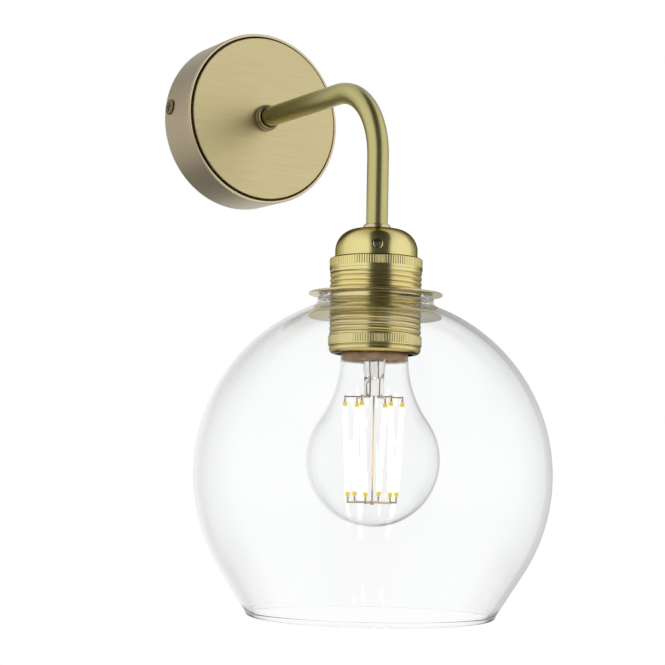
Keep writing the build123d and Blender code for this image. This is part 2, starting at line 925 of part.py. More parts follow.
def make_bulb_lead_wires():
    """Lead wires from the driver through the stem, each fanning out to half of the filaments."""
    board = bulb_tip - driver_setback - driver_thickness - fit
    wires = []
    for side, (x, y) in enumerate(lead_points()):
        star = stem_end - lead_drop
        wire = rod((x, y, star), (x, y, board), lead_diameter) + weld((x, y, star))
        for index in range(filament_count):
            top, bottom = filament_ends(index)
            if (top[0] < 0) == (side == 0):
                corner = (top[0], top[1], star)
                tip = (top[0], top[1], filament_top + weld_diameter / 2)
                wire += rod((x, y, star), corner, lead_diameter) + weld(corner)
                wire += rod(corner, tip, lead_diameter) + weld(tip)
        wires.append(wire)
    return wires


def make_bulb_filament_hub():
    """Central rod under the stem with a star of wires that holds the lower filament ends."""
    hub = rod((0, -arm_reach, stem_end), (0, -arm_reach, hub_level - hub_diameter / 2), support_diameter)
    hub += Pos(0, -arm_reach, hub_level) * Sphere(hub_diameter / 2)
    for index in range(filament_count):
        top, bottom = filament_ends(index)
        corner = (bottom[0], bottom[1], hub_level)
        foot = (bottom[0], bottom[1], filament_bottom - weld_diameter / 2 - fit)
        hub += rod((0, -arm_reach, hub_level), corner, support_diameter) + weld(corner)
        hub += rod(corner, foot, support_diameter) + weld(foot)
    return hub


# Nodes
nodes = {
    "rose_rim": make_rose_rim(),
    "rose_front_plate": make_rose_front_plate(),
    "rose_side_screws": make_side_screws(),
    "wall_bracket": make_wall_bracket(),
    "terminal_block": make_terminal_block(),
    "terminal_barrels": make_terminal_barrels(),
    "terminal_screws": make_terminal_screws(),
    "earth_screw": make_earth_screw(),
    "earth_tag": make_earth_tag(),
    "arm_tube": make_arm_tube(),
    "arm_collar": make_arm_collar(),
    "lock_washer": make_lock_washer(),
    "arm_lock_nut": make_arm_lock_nut(),
    "arm_ferrule": make_arm_ferrule(),
    "wire_live": supply_wire(0, -1),
    "wire_neutral": supply_wire(1, 1),
    "wire_earth": make_wire_earth(),
    "lampholder_cap": make_lampholder_cap(),
    "cap_set_screw": make_cap_set_screw(),
    "lampholder_skirt": make_lampholder_skirt(),
    "lampholder_insert": make_lampholder_insert(),
    "holder_terminals": make_holder_terminals(),
    "contact_rivets": make_contact_rivets(),
    "shell_contact": make_shell_contact(),
    "centre_contact": make_centre_contact(),
    "upper_shade_ring": shade_ring(upper_ring_base),
    "lower_shade_ring": shade_ring(lower_ring_top - ring_thickness),
    "glass_shade": make_glass_shade(),
    "bulb_glass": make_bulb_glass(),
    "bulb_base": make_bulb_base(),
    "bulb_insulator": make_bulb_insulator(),
    "bulb_tip_contact": make_bulb_tip_contact(),
    "bulb_driver": make_bulb_driver(),
    "bulb_stem": make_bulb_stem(),
    "bulb_lead_wires": make_bulb_lead_wires(),
    "bulb_filaments": make_bulb_filaments(),
    "bulb_filament_hub": make_bulb_filament_hub(),
}

os.makedirs("parts", exist_ok=True)
for name, shape in nodes.items():
    group = Compound(children=list(shape)) if isinstance(shape, list) else shape
    export_step(group, f"parts/{name}.step")
print(f"{len(nodes)} nodes, wire bends {wire_turn}, {wire_bend} and {arm_bend_radius} mm")
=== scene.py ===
# %% [markdown]
# # A brass wall lamp with a clear glass globe
#
# This lesson dresses a wall lamp that was first built as solids in a CAD program. The solids come in as a
# fixed frame: every piece made here sits where its solid sits and moves with the same body.
# Most visible pieces of this lamp are turned or blown, so nearly all of them start as half an outline
# that is spun round an axis, the way a lathe or a glass blower makes them.

import math

import bmesh
import bpy
from mathutils import Matrix, Vector


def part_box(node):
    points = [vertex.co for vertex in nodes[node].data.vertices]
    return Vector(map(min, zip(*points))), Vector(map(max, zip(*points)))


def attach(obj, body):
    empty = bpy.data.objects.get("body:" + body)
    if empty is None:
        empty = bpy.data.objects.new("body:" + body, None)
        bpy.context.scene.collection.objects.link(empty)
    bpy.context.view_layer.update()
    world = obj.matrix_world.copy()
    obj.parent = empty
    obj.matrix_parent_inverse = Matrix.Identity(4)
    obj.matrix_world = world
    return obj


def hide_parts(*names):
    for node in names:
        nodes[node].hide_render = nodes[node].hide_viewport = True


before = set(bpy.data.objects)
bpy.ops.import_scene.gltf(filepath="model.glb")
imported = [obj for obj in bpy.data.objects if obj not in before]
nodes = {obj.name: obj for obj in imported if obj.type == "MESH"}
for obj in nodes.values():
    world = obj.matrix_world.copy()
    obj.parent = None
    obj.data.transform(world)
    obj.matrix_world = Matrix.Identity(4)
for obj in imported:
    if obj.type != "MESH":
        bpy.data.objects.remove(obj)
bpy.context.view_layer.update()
mm = 0.001

# %% [markdown]
# ## The camera
#
# The photograph was taken from the left and a little below the lampholder, with a long lens. The place and
# the turn of the camera were solved from the outlines of the rose, the arm, the globe and the bulb. Blender
# wants a focal length in millimetres, so the length in pixels is scaled from the picture's width to the
# sensor's.

# %% Camera
PHOTO_SIDE = 665
FOCAL_PIXELS = 1642
SENSOR_WIDTH = 36
CAMERA_PLACE = Vector((-413.2, -741.3, -175.1)) * mm
YAW, PITCH, ROLL = math.radians(32.57), math.radians(4.61), math.radians(1.147)
NEAREST_SEEN = 0.05
GLASS_BOUNCES, METAL_BOUNCES = 24, 12

across = Vector((math.cos(YAW), -math.sin(YAW), 0))
ahead = Vector((math.sin(YAW) * math.cos(PITCH), math.cos(YAW) * math.cos(PITCH), math.sin(PITCH)))
above = across.cross(ahead)
right = across * math.cos(ROLL) + above * math.sin(ROLL)
up = above * math.cos(ROLL) - across * math.sin(ROLL)

camera = bpy.data.objects.new("photo_camera", bpy.data.cameras.new("photo_camera"))
bpy.context.scene.collection.objects.link(camera)
camera.data.sensor_width = SENSOR_WIDTH
camera.data.lens = SENSOR_WIDTH * FOCAL_PIXELS / PHOTO_SIDE
camera.data.clip_start = NEAREST_SEEN
turn = Matrix((right, up, -ahead)).transposed().to_4x4()
camera.matrix_world = Matrix.Translation(CAMERA_PLACE) @ turn
bpy.context.scene.camera = camera
bpy.context.scene.view_settings.view_transform = "Standard"
bpy.context.scene.cycles.max_bounces = GLASS_BOUNCES
bpy.context.scene.cycles.glossy_bounces = METAL_BOUNCES
bpy.context.scene.cycles.transmission_bounces = GLASS_BOUNCES
print(f"lens {camera.data.lens:.1f} mm")

# %% [markdown]
# ## The studio
#
# The photograph's background is plain white, and the polished metal mirrors a dark strip towards the camera
# with bright panels beside it. Those panels could be real area lamps, but then they would also show as hard
# shapes in the glass. Here the world holds them instead. Straight looks into the world are white, looks by
# way of a reflection see the panels, and soft surfaces get an even glow.

# %% Helpers for node trees
# A socket knows its node tree as its id_data, so most helpers only need sockets.
def link(start, end):
    """Joins an output to an input."""
    start.id_data.links.new(start, end)


def new_node(socket, kind):
    """A new node in the tree of a socket."""
    return socket.id_data.nodes.new(f"ShaderNode{kind}")


def feed(socket, value):
    """Links a socket to an output, or sets it to a plain value."""
    if isinstance(value, bpy.types.NodeSocket):
        link(value, socket)
    else:
        socket.default_value = value


def math_node(operation, *values):
    """A Math node whose inputs are sockets or numbers."""
    node = new_node(next(v for v in values if isinstance(v, bpy.types.NodeSocket)), "Math")
    node.operation = operation
    for socket, value in zip(node.inputs, values):
        feed(socket, value)
    return node.outputs[0]


def vector_node(operation, vector, other=(0, 0, 0)):
    """A Vector Math node on a socket, and the output that its operation fills."""
    node = new_node(vector, "VectorMath")
    node.operation = operation
    link(vector, node.inputs[0])
    node.inputs[1].default_value = other
    return node.outputs["Value" if operation in ("DOT_PRODUCT", "DISTANCE", "LENGTH") else "Vector"]


def colour_ramp(factor, steps, blend="LINEAR"):
    """Colours read from steps of (place from 0 to 1, (red, green, blue))."""
    node = new_node(factor, "ValToRGB")
    node.color_ramp.interpolation = blend
    stops = node.color_ramp.elements
    while len(stops) < len(steps):
        stops.new(0.5)
    for stop, (place, colour) in zip(stops, steps):
        stop.position = place
        stop.color = (*colour, 1)
    link(factor, node.inputs[0])
    return node.outputs["Color"]


print("helpers for node trees are ready")

# %% Steps of brightness
# Degrees round the lamp, counted from the camera, against brightness.
PANELS = [(-180, 0.90), (-165, 0.92), (-150, 0.82), (-130, 0.60), (-116, 0.72), (-95, 0.95), (-60, 1.0),
          (-24, 1.0), (-12, 0.10), (0, 0.06), (30, 0.07), (42, 0.92), (65, 1.0), (105, 1.0), (118, 0.72),
          (130, 0.60), (150, 0.70), (165, 0.62), (174, 0.45), (180, 0.90)]
# Height of the look, as the sine of its angle, against brightness, in front of the lamp and behind it.
FRONT_HEIGHTS = [(-1.0, 0.20), (-0.7, 0.30), (-0.35, 0.75), (-0.1, 1.0), (0.6, 1.0), (0.85, 0.85),
                 (1.0, 0.55)]
BACK_HEIGHTS = [(-1.0, 0.12), (-0.55, 0.14), (-0.3, 0.92), (-0.1, 1.0), (0.1, 1.0), (0.25, 0.85),
                (0.48, 0.60), (0.7, 0.80), (1.0, 0.50)]
# Degrees round the lamp against how far the heights in front count.
IN_FRONT = [(-180, 0), (-130, 0), (-100, 1), (100, 1), (130, 0), (180, 0)]
# What soft surfaces receive from all sides.
EVEN_GLOW = 0.55
# Looks upwards count as looks more to the front, so the dark strip keeps its width over the lamp.
OVERHEAD_PULL = 0.55
print(f"{len(PANELS)} steps round the lamp, {len(FRONT_HEIGHTS)} and {len(BACK_HEIGHTS)} steps in height")

# %% The world with its panels
world = bpy.data.worlds.new("studio")
bpy.context.scene.world = world
world.use_nodes = True
tree = world.node_tree
tree.nodes.clear()
look = tree.nodes.new("ShaderNodeTexCoord").outputs["Generated"]
height = vector_node("DOT_PRODUCT", look, (0, 0, 1))
sideways = vector_node("DOT_PRODUCT", look, across)
forwards = vector_node("DOT_PRODUCT", look, (-math.sin(YAW), -math.cos(YAW), 0))
overhead = math_node("POWER", math_node("MAXIMUM", height, 0), 2)
frontal = math_node("MULTIPLY_ADD", overhead, OVERHEAD_PULL, forwards)
from_camera = math_node("ARCTAN2", sideways, frontal)
round_share = math_node("MULTIPLY_ADD", from_camera, 0.5 / math.pi, 0.5)
height_share = math_node("MULTIPLY_ADD", height, 0.5, 0.5)


def grey_ramp(factor, span, steps):
    """Brightness from steps that are spread evenly about zero over a span."""
    return colour_ramp(factor, [(place / span + 0.5, [bright] * 3) for place, bright in steps], "EASE")


panels = grey_ramp(round_share, 360, PANELS)
in_front = grey_ramp(round_share, 360, IN_FRONT)
front_heights = grey_ramp(height_share, 2, FRONT_HEIGHTS)
back_heights = grey_ramp(height_share, 2, BACK_HEIGHTS)
step = math_node("SUBTRACT", front_heights, back_heights)
heights = math_node("MULTIPLY_ADD", in_front, step, back_heights)
reflected = math_node("MULTIPLY", panels, heights)

path = tree.nodes.new("ShaderNodeLightPath")
by_mirror = math_node("GREATER_THAN", path.outputs["Glossy Depth"], 0.5)
by_surface = math_node("GREATER_THAN", path.outputs["Diffuse Depth"], 0.5)
seen = math_node("MULTIPLY_ADD", by_mirror, math_node("SUBTRACT", reflected, 1), 1)
light = math_node("MULTIPLY_ADD", by_surface, math_node("SUBTRACT", EVEN_GLOW, seen), seen)
background = tree.nodes.new("ShaderNodeBackground")
background.inputs["Color"].default_value = (1, 1, 1, 1)
link(light, background.inputs["Strength"])
output = tree.nodes.new("ShaderNodeOutputWorld")
link(background.outputs[0], output.inputs["Surface"])
print(f"world with {len(tree.nodes)} nodes")

# %% [markdown]
# ## Soft lamps and the floor
#
# Two broad lamps give the plastic and ceramic pieces a lit side and a shaded side. They are hidden from
# reflections, because the world already holds the panels. The floor could be a large plane, but its far edge
# would cross the picture. It is a pale disc under the lamp that fades out towards its edge instead.

# %% Soft lamps
LAMP_MIDDLE = Vector((0, -0.10, -0.10))
LAMP_SIDE = 0.9


def soft_lamp(name, place, watts):
    """A square area lamp that lights surfaces and hides from reflections."""
    lamp = bpy.data.objects.new(name, bpy.data.lights.new(name, "AREA"))
    bpy.context.scene.collection.objects.link(lamp)
    lamp.data.size = LAMP_SIDE
    lamp.data.energy = watts
    heading = LAMP_MIDDLE - Vector(place)
    lamp.matrix_world = Matrix.Translation(place) @ heading.to_track_quat("-Z", "Y").to_matrix().to_4x4()
    for kind in ("camera", "glossy", "transmission"):
        setattr(lamp, f"visible_{kind}", False)


soft_lamp("lamp_left", (-1.1, -1.2, 0.7), 16)
soft_lamp("lamp_right", (1.3, -0.9, 0.4), 9)
print("two soft lamps")


# %% Floor
FLOOR_LEVEL, FLOOR_RADIUS, FLOOR_SIDES = -0.42, 0.55, 96
FADE_START, FADE_END = FLOOR_RADIUS * 0.35, FLOOR_RADIUS * 0.98
FLOOR_PALE = (0.93, 0.93, 0.92, 1)
FLOOR_MIDDLE = Vector((0, LAMP_MIDDLE.y, FLOOR_LEVEL))

floor_mesh = bmesh.new()
bmesh.ops.create_circle(floor_mesh, cap_ends=True, segments=FLOOR_SIDES, radius=FLOOR_RADIUS,
                        matrix=Matrix.Translation(FLOOR_MIDDLE))
floor = bpy.data.objects.new("floor", bpy.data.meshes.new("floor"))
floor_mesh.to_mesh(floor.data)
floor_mesh.free()
bpy.context.scene.collection.objects.link(floor)
print("floor disc", FLOOR_RADIUS, "m")


# %% Floor paint
def rescale(value, low, high, new_low=0, new_high=1):
    """Maps a range onto a new one, and holds values outside it at the ends."""
    node = new_node(value, "MapRange")
    for name, bound in zip(("From Min", "From Max", "To Min", "To Max"), (low, high, new_low, new_high)):
        node.inputs[name].default_value = bound
    link(value, node.inputs["Value"])
    return node.outputs["Result"]


def object_place(tree):
    """The place on the piece, which is the same in every view."""
    return tree.nodes.new("ShaderNodeTexCoord").outputs["Object"]


paint = bpy.data.materials.new("pale_floor")
paint.use_nodes = True
tree = paint.node_tree
tree.nodes.clear()
fade = rescale(vector_node("DISTANCE", object_place(tree), FLOOR_MIDDLE), FADE_START, FADE_END)
fade.node.interpolation_type = "SMOOTHSTEP"
pale = tree.nodes.new("ShaderNodeBsdfDiffuse")
pale.inputs["Color"].default_value = FLOOR_PALE
clear = tree.nodes.new("ShaderNodeBsdfTransparent")
blend = tree.nodes.new("ShaderNodeMixShader")
link(fade, blend.inputs["Fac"])
link(pale.outputs[0], blend.inputs[1])
link(clear.outputs[0], blend.inputs[2])
output = tree.nodes.new("ShaderNodeOutputMaterial")
link(blend.outputs[0], output.inputs["Surface"])
floor.data.materials.append(paint)
print(f"floor fades out from {FADE_START:.2f} to {FADE_END:.2f} m")

# %% [markdown]
# ## Finishes
#
# Each finish is a small node tree round one Principled shader. Photographed textures would need unwrapping
# and blur when seen close, so the metals here use noise: a base colour that drifts a little over a few
# centimetres, a fine grain that changes the roughness, and the same grain as a faint bump. Reading Object
# coordinates keeps the grain fixed to the piece, and a Mapping node stretches it where the real surface was
# brushed in one direction.

# %% Noise and colours
NOISE_LOW, NOISE_HIGH = 0.3, 0.7


def noise(where, size, detail=2.0):
    """Noise whose features are about this size in metres."""
    node = new_node(where, "TexNoise")
    node.inputs["Scale"].default_value = 1 / size
    node.inputs["Detail"].default_value = detail
    link(where, node.inputs["Vector"])
    return node.outputs["Fac"]


def between(factor, low, high):
    """Stretches noise, which stays mostly between its low and high, over a range of values."""
    return rescale(factor, NOISE_LOW, NOISE_HIGH, low, high)


def mix_colours(factor, first, second):
    """Mixes two colours, each a socket or (red, green, blue)."""
    node = new_node(factor, "Mix")
    node.data_type = "RGBA"
    link(factor, node.inputs["Factor"])
    for name, colour in (("A", first), ("B", second)):
        linked = isinstance(colour, bpy.types.NodeSocket)
        feed(node.inputs[name], colour if linked else (*colour, 1))
    return node.outputs["Result"]


def two_tones(factor, tone, shade):
    """Mixes two colours by noise."""
    return mix_colours(between(factor, 0, 1), tone, shade)


print("helpers for noise are ready")


# %% A metal finish
GRAIN_DETAIL, GRAIN_HEIGHT = 3.0, 0.05 * mm


def shader_of(finish):
    """The one shader of a finish."""
    return finish.node_tree.nodes["Principled BSDF"]


def new_finish(name, stretch=(1, 1, 1)):
    """A material, its shader and coordinates that follow the piece."""
    finish = bpy.data.materials.new(name)
    finish.use_nodes = True
    tree = finish.node_tree
    mapping = tree.nodes.new("ShaderNodeMapping")
    mapping.vector_type = "TEXTURE"
    mapping.inputs["Scale"].default_value = stretch
    link(object_place(tree), mapping.inputs["Vector"])
    return finish, shader_of(finish), mapping.outputs[0]


def relief(shader, factor, strength, height):
    """Uses noise as a shallow bump."""
    bump = new_node(factor, "Bump")
    bump.inputs["Strength"].default_value = strength
    bump.inputs["Distance"].default_value = height
    link(factor, bump.inputs["Height"])
    link(bump.outputs[0], shader.inputs["Normal"])


def fine_skin(shader, where, rough, spread, grain, depth):
    """A grain in millimetres that changes the roughness and stands out a little."""
    fine = noise(where, grain * mm, GRAIN_DETAIL)
    link(between(fine, rough - spread, rough + spread), shader.inputs["Roughness"])
    relief(shader, fine, depth, GRAIN_HEIGHT)


def metal(name, tone, shade, rough, spread, grain=0.4, depth=0.08, stretch=(1, 1, 1), drift=22, edge=1.0):
    """A metal whose colour drifts over some millimetres; edge is its tint at grazing looks."""
    finish, shader, where = new_finish(name, stretch)
    link(two_tones(noise(where, drift * mm), tone, shade), shader.inputs["Base Color"])
    fine_skin(shader, where, rough, spread, grain, depth)
    shader.inputs["Metallic"].default_value = 1.0
    shader.inputs["Specular Tint"].default_value = (edge, edge, edge, 1)
    return finish


print("metals can be mixed")

# %% [markdown]
# The rose and the arm have a satin finish that scatters the studio into soft patches. The lampholder is
# nearly polished and more yellow. Screws and hidden steel pieces are plated.

# %% Brass and steel
satin_brass = metal("satin_brass", (0.69, 0.60, 0.33), (0.645, 0.555, 0.30), 0.41, 0.05, grain=0.35,
                    depth=0.10, stretch=(34, 1, 1), drift=0.8)
rim_brass = metal("rim_brass", (0.51, 0.425, 0.28), (0.475, 0.395, 0.26), 0.30, 0.05, grain=0.5)
collar_brass = metal("collar_brass", (0.42, 0.35, 0.21), (0.38, 0.31, 0.18), 0.32, 0.05)
arm_brass = metal("arm_brass", (0.57, 0.52, 0.23), (0.53, 0.48, 0.21), 0.30, 0.04, grain=0.4)
holder_brass = metal("holder_brass", (0.80, 0.71, 0.32), (0.77, 0.67, 0.29), 0.17, 0.03, grain=0.6,
                     depth=0.04, edge=0.1)
thread_brass = metal("thread_brass", (0.80, 0.71, 0.34), (0.77, 0.67, 0.31), 0.19, 0.03, grain=0.6,
                     depth=0.04, edge=0.3)
ring_brass = metal("ring_brass", (0.68, 0.60, 0.36), (0.64, 0.56, 0.33), 0.24, 0.04, grain=0.5)
screw_brass = metal("screw_brass", (0.24, 0.19, 0.10), (0.16, 0.12, 0.06), 0.34, 0.06, grain=0.3, drift=1.2)
set_screw_steel = metal("set_screw_steel", (0.20, 0.19, 0.15), (0.15, 0.14, 0.11), 0.26, 0.06, grain=0.3)
zinc_steel = metal("zinc_steel", (0.62, 0.64, 0.66), (0.50, 0.53, 0.56), 0.38, 0.10, grain=1.6)
contact_brass = metal("contact_brass", (0.74, 0.60, 0.28), (0.66, 0.52, 0.24), 0.30, 0.06)
base_nickel = metal("base_nickel", (0.72, 0.71, 0.68), (0.65, 0.64, 0.61), 0.24, 0.05)
tip_solder = metal("tip_solder", (0.60, 0.60, 0.60), (0.50, 0.50, 0.51), 0.45, 0.08, grain=1.0, depth=0.3)
lead_steel = metal("lead_steel", (0.62, 0.53, 0.42), (0.53, 0.45, 0.35), 0.34, 0.06)
print("metals from", satin_brass.name, "to", lead_steel.name)

# %% [markdown]
# The ceramic insert, the terminal block and the sleeves of the wires are moulded. One even colour would look
# like paint close up, so they get a slight mottle and a fine skin.

# %% Moulded finishes
MOTTLE = 6 * mm


def moulded(name, tone, shade, rough, spread, grain=0.8, depth=0.05):
    """Plastic or ceramic with a slight mottle and a fine skin."""
    finish, shader, where = new_finish(name)
    link(two_tones(noise(where, MOTTLE), tone, shade), shader.inputs["Base Color"])
    fine_skin(shader, where, rough, spread, grain, depth)
    return finish


white_ceramic = moulded("white_ceramic", (0.82, 0.81, 0.77), (0.76, 0.75, 0.71), 0.30, 0.06)
terminal_plastic = moulded("terminal_plastic", (0.78, 0.77, 0.72), (0.72, 0.71, 0.66), 0.42, 0.06)
black_insulator = moulded("black_insulator", (0.025, 0.025, 0.03), (0.04, 0.04, 0.045), 0.25, 0.05)
driver_board = moulded("driver_board", (0.05, 0.20, 0.10), (0.04, 0.15, 0.08), 0.40, 0.08, grain=1.2)
wire_brown = moulded("wire_brown", (0.16, 0.07, 0.03), (0.13, 0.055, 0.025), 0.40, 0.06)
wire_blue = moulded("wire_blue", (0.03, 0.10, 0.38), (0.025, 0.08, 0.32), 0.40, 0.06)
print("moulded finishes from", white_ceramic.name, "to", wire_blue.name)

# %% [markdown]
# The earth wire is green with a yellow stripe that winds round it. The stripe could be a second strip wound
# as a helix, but a Wave texture in Object coordinates is enough for a wire this thin.

# %% Striped wire
STRIPE_SCALE, STRIPE_WOBBLE = 90, 0.4
SLEEVE_GRAIN, SLEEVE_ROUGH = 0.8 * mm, (0.36, 0.46)
GREEN, STRIPE_YELLOW = (0.05, 0.22, 0.05), (0.75, 0.60, 0.05)

wire_green_yellow, shader, where = new_finish("wire_green_yellow")
stripe = new_node(where, "TexWave")
stripe.bands_direction = "DIAGONAL"
stripe.inputs["Scale"].default_value = STRIPE_SCALE
stripe.inputs["Distortion"].default_value = STRIPE_WOBBLE
link(where, stripe.inputs["Vector"])
stripes = two_tones(stripe.outputs["Fac"], GREEN, STRIPE_YELLOW)
link(stripes, shader.inputs["Base Color"])
link(between(noise(where, SLEEVE_GRAIN), *SLEEVE_ROUGH), shader.inputs["Roughness"])
print("striped earth wire")

# %% [markdown]
# ## Glass
#
# The globe and the bulb are blown, so their walls are never perfectly even. Moving the vertices would need a
# very fine mesh, so a wide and very shallow ripple as a bump gives the slow bends in the reflections. The
# glass itself is almost without colour. For the globe and the bulb its refractive index is lower than that of
# real glass, because the photograph shows faint edges.

# %% Glass finishes
GLASS_DRIFT, RIPPLE_DETAIL, RIPPLE_STRENGTH = 40 * mm, 1.0, 0.25


def blown_glass(name, tint, shade, ior, ripple, height):
    """Clear glass with a slow ripple, whose width and height are in millimetres."""
    finish, shader, where = new_finish(name)
    link(two_tones(noise(where, GLASS_DRIFT), tint, shade), shader.inputs["Base Color"])
    relief(shader, noise(where, ripple * mm, RIPPLE_DETAIL), RIPPLE_STRENGTH, height * mm)
    shader.inputs["Roughness"].default_value = 0.0
    shader.inputs["IOR"].default_value = ior
    shader.inputs["Transmission Weight"].default_value = 1.0
    return finish


clear_glass = blown_glass("clear_glass", (0.990, 0.994, 0.994), (0.986, 0.990, 0.991), 1.27, 30, 0.05)
bulb_clear_glass = blown_glass("bulb_clear_glass", (0.993, 0.995, 0.994), (0.988, 0.992, 0.992), 1.25, 18,
                               0.03)
stem_glass = blown_glass("stem_glass", (0.97, 0.97, 0.95), (0.94, 0.94, 0.92), 1.50, 1.6, 0.25)
print("glass for the globe, the bulb and its stem")

# %% [markdown]
# The filaments are thin strips of chips under a yellow coating. Lit, the coating glows almost white, and
# near the ends, where the chips stop, its own yellow shows. Two materials would leave a hard line, so one
# glow follows the height in the bulb.

# %% Glowing filaments
YELLOW, LIT = (0.117, 0.09, 0.011), (1.0, 0.88, 0.66)
COATING = [(0.0, YELLOW), (0.045, YELLOW), (0.10, LIT), (0.90, LIT), (0.955, YELLOW), (1.0, YELLOW)]
GLOW, COATING_GRAIN, COATING_ROUGH = 6.0, 0.7 * mm, (0.4, 0.6)

cage_low, cage_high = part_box("bulb_filaments")
filament_glow, shader, where = new_finish("filament_glow")
height = vector_node("DOT_PRODUCT", where, (0, 0, 1))
coating = colour_ramp(rescale(height, cage_low.z, cage_high.z), COATING)
link(coating, shader.inputs["Base Color"])
link(coating, shader.inputs["Emission Color"])
uneven = noise(where, COATING_GRAIN)
link(between(uneven, *COATING_ROUGH), shader.inputs["Roughness"])
shader.inputs["Emission Strength"].default_value = GLOW
print("filaments glow over", round((cage_high.z - cage_low.z) / mm, 1), "mm")

# %% [markdown]
# ## A pen for turned outlines
#
# A lathe piece is half an outline spun round its axis. The pen below draws that outline as a chain of edges
# with two bmesh operators: extruding the last vertex gives a straight line, and spinning it about a centre
# gives an arc. Radius and height are in millimetres. The lamp's own axis stands upright below the arm's
# end, and the rose turns about the line that comes straight out of the wall.

# %% Pen
LAMP_Y = sum(corner.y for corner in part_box("lampholder_skirt")) / 2


class Pen:
    """Draws half an outline for a lathe and then spins it."""

    def __init__(self, upright):
        self.bm = bmesh.new()
        self.upright = upright
        self.last = self.first = None

    def place(self, radius, height):
        if self.upright:
            return Vector((radius * mm, LAMP_Y, height * mm))
        return Vector((radius * mm, -height * mm, 0))

    def start(self, radius, height):
        self.last = self.first = self.bm.verts.new(self.place(radius, height))
        return self

    def line(self, *corners):
        for radius, height in corners:
            self.last = bmesh.ops.extrude_vert_indiv(self.bm, verts=[self.last])["verts"][0]
            self.last.co = self.place(radius, height)
        return self

    def arc(self, centre, degrees, steps):
        """Turns the pen about a centre, anticlockwise where degrees is positive."""
        made = bmesh.ops.spin(self.bm, geom=[self.last], cent=self.place(*centre),
                              axis=(0, -1, 0) if self.upright else (0, 0, -1),
                              angle=math.radians(degrees), steps=steps, use_merge=False)
        self.last = next(v for v in made["geom_last"] if isinstance(v, bmesh.types.BMVert))
        return self

    def close(self):
        self.bm.edges.new((self.last, self.first))
        return self

    def outline(self, first, *others):
        """A closed outline of straight lines."""
        return self.start(*first).line(*others).close()

    def spin(self, steps, soften=0.0):
        """A full turn, then merged seams, outward faces and softened edges."""
        bmesh.ops.spin(self.bm, geom=self.bm.verts[:] + self.bm.edges[:], cent=self.place(0, 0),
                       axis=(0, 0, 1) if self.upright else (0, 1, 0), angle=math.tau, steps=steps,
                       use_merge=True)
        tidy(self.bm)
        if soften:
            round_edges(self.bm, soften)
        return self.bm


print(f"the lamp's axis is {-LAMP_Y / mm:.1f} mm from the wall")


# %% From mesh to piece
def tidy(bm, gap=0.002):
    """Merges doubles and turns the faces outwards."""
    bmesh.ops.remove_doubles(bm, verts=bm.verts[:], dist=gap * mm)
    bmesh.ops.recalc_face_normals(bm, faces=bm.faces[:])


def round_edges(bm, width, least=30):
    """Softens every edge that turns by more than some degrees."""
    edges = [e for e in bm.edges if e.is_manifold and e.calc_face_angle() > math.radians(least)]
    bmesh.ops.bevel(bm, geom=edges, offset=width * mm, affect="EDGES", segments=3, profile=0.5, material=-1,
                    clamp_overlap=True)


def piece(name, bm, finish, slot, body, *replaced):
    """Makes the object, shades it smooth and hangs it on its body in place of its solids."""
    obj = bpy.data.objects.new(name, bpy.data.meshes.new(name))
    bm.to_mesh(obj.data)
    bm.free()
    obj.data.shade_smooth()
    obj.data.materials.append(finish)
    bpy.context.scene.collection.objects.link(obj)
    normals = obj.modifiers.new("even_shading", "WEIGHTED_NORMAL")
    normals.keep_sharp = True
    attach(obj, body)
    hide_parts(*replaced)
    print(f"{name}: {len(obj.data.polygons)} faces on {body}")


print("meshes can be tidied, softened and hung on a body")

# %% [markdown]
# ## Colour and painted shade by place
#
# Some surfaces change colour within one piece, mostly as painted light: the gap round the rose's disc and the
# collar round the arm are painted dark as shade, the rose's lip is painted lighter, partly as a highlight,
# the top of the dome is painted a darker amber as shade, and the grooves of the thread are painted amber,
# partly as shade. Each could be cut off as a piece of its own, but that would break the outline.
# Here a mask is worked out from Object coordinates, as a height or as a distance from an axis. It is fixed
# to the piece, so it stays where it is in every view.

# %% Tints
def blend_in(finish, factor, colour):
    """Mixes a colour over the base colour of a finish."""
    base = shader_of(finish).inputs["Base Color"]
    link(mix_colours(factor, base.links[0].from_socket, colour), base)


def past(value, level, blur):
    """One where a value in metres is past a level in millimetres, and zero before it."""
    return rescale(value, (level - blur) * mm, (level + blur) * mm)


def tint_beyond(finish, heading, level, colour, blur=0.1):
    """Gives a finish another colour beyond a level along a heading."""
    way = vector_node("DOT_PRODUCT", object_place(finish.node_tree), heading)
    blend_in(finish, past(way, level, blur), colour)


def tint_inside(finish, radius, colour, upright, blur=0.1):
    """Gives a finish another colour near the lamp's upright axis, or near the rose's axis."""
    middle, flat = ((0, LAMP_Y, 0), (1, 1, 0)) if upright else ((0, 0, 0), (1, 0, 1))
    from_axis = vector_node("SUBTRACT", object_place(finish.node_tree), middle)
    away = vector_node("LENGTH", vector_node("MULTIPLY", from_axis, flat))
    blend_in(finish, math_node("SUBTRACT", 1, past(away, radius, blur)), colour)


print("tints can be set by height or by distance from an axis")

# %% [markdown]
# ## The rose
#
# The rose is a drawn brass cup with a rolled lip, and a flat disc that stands a little proud of the lip. The
# dark line round the disc in the photograph is the shade in the gap between the two, and a dark tint paints
# that shade onto the cup: painted shade. The front face of the lip is painted lighter, which is partly a
# painted highlight.
# Cylinders could be joined for both pieces, but an outline gives lip, web and wall at once. Edges are
# softened the way a polished pressing is.

# %% Rose rim
rim_low, rim_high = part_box("rose_rim")
plate_low, plate_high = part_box("rose_front_plate")
ROSE_RADIUS, ROSE_DEPTH = rim_high.x / mm, -rim_low.y / mm
PLATE_RADIUS, PLATE_FRONT, PLATE_BACK = plate_high.x / mm, -plate_low.y / mm, -plate_high.y / mm
RIM_WALL, LIP_WIDTH, WEB = 1.2, 1.5, 1.2
ARM_HOLE = 5.05
LIP_FACE, UNDER_DISC = 0.3, 0.3
LIP_TONE_AND_HIGHLIGHT, GAP_PAINTED_SHADE, WEB_COLOUR = (0.70, 0.58, 0.40), (0.07, 0.05, 0.025), (0.50, 0.42, 0.27)
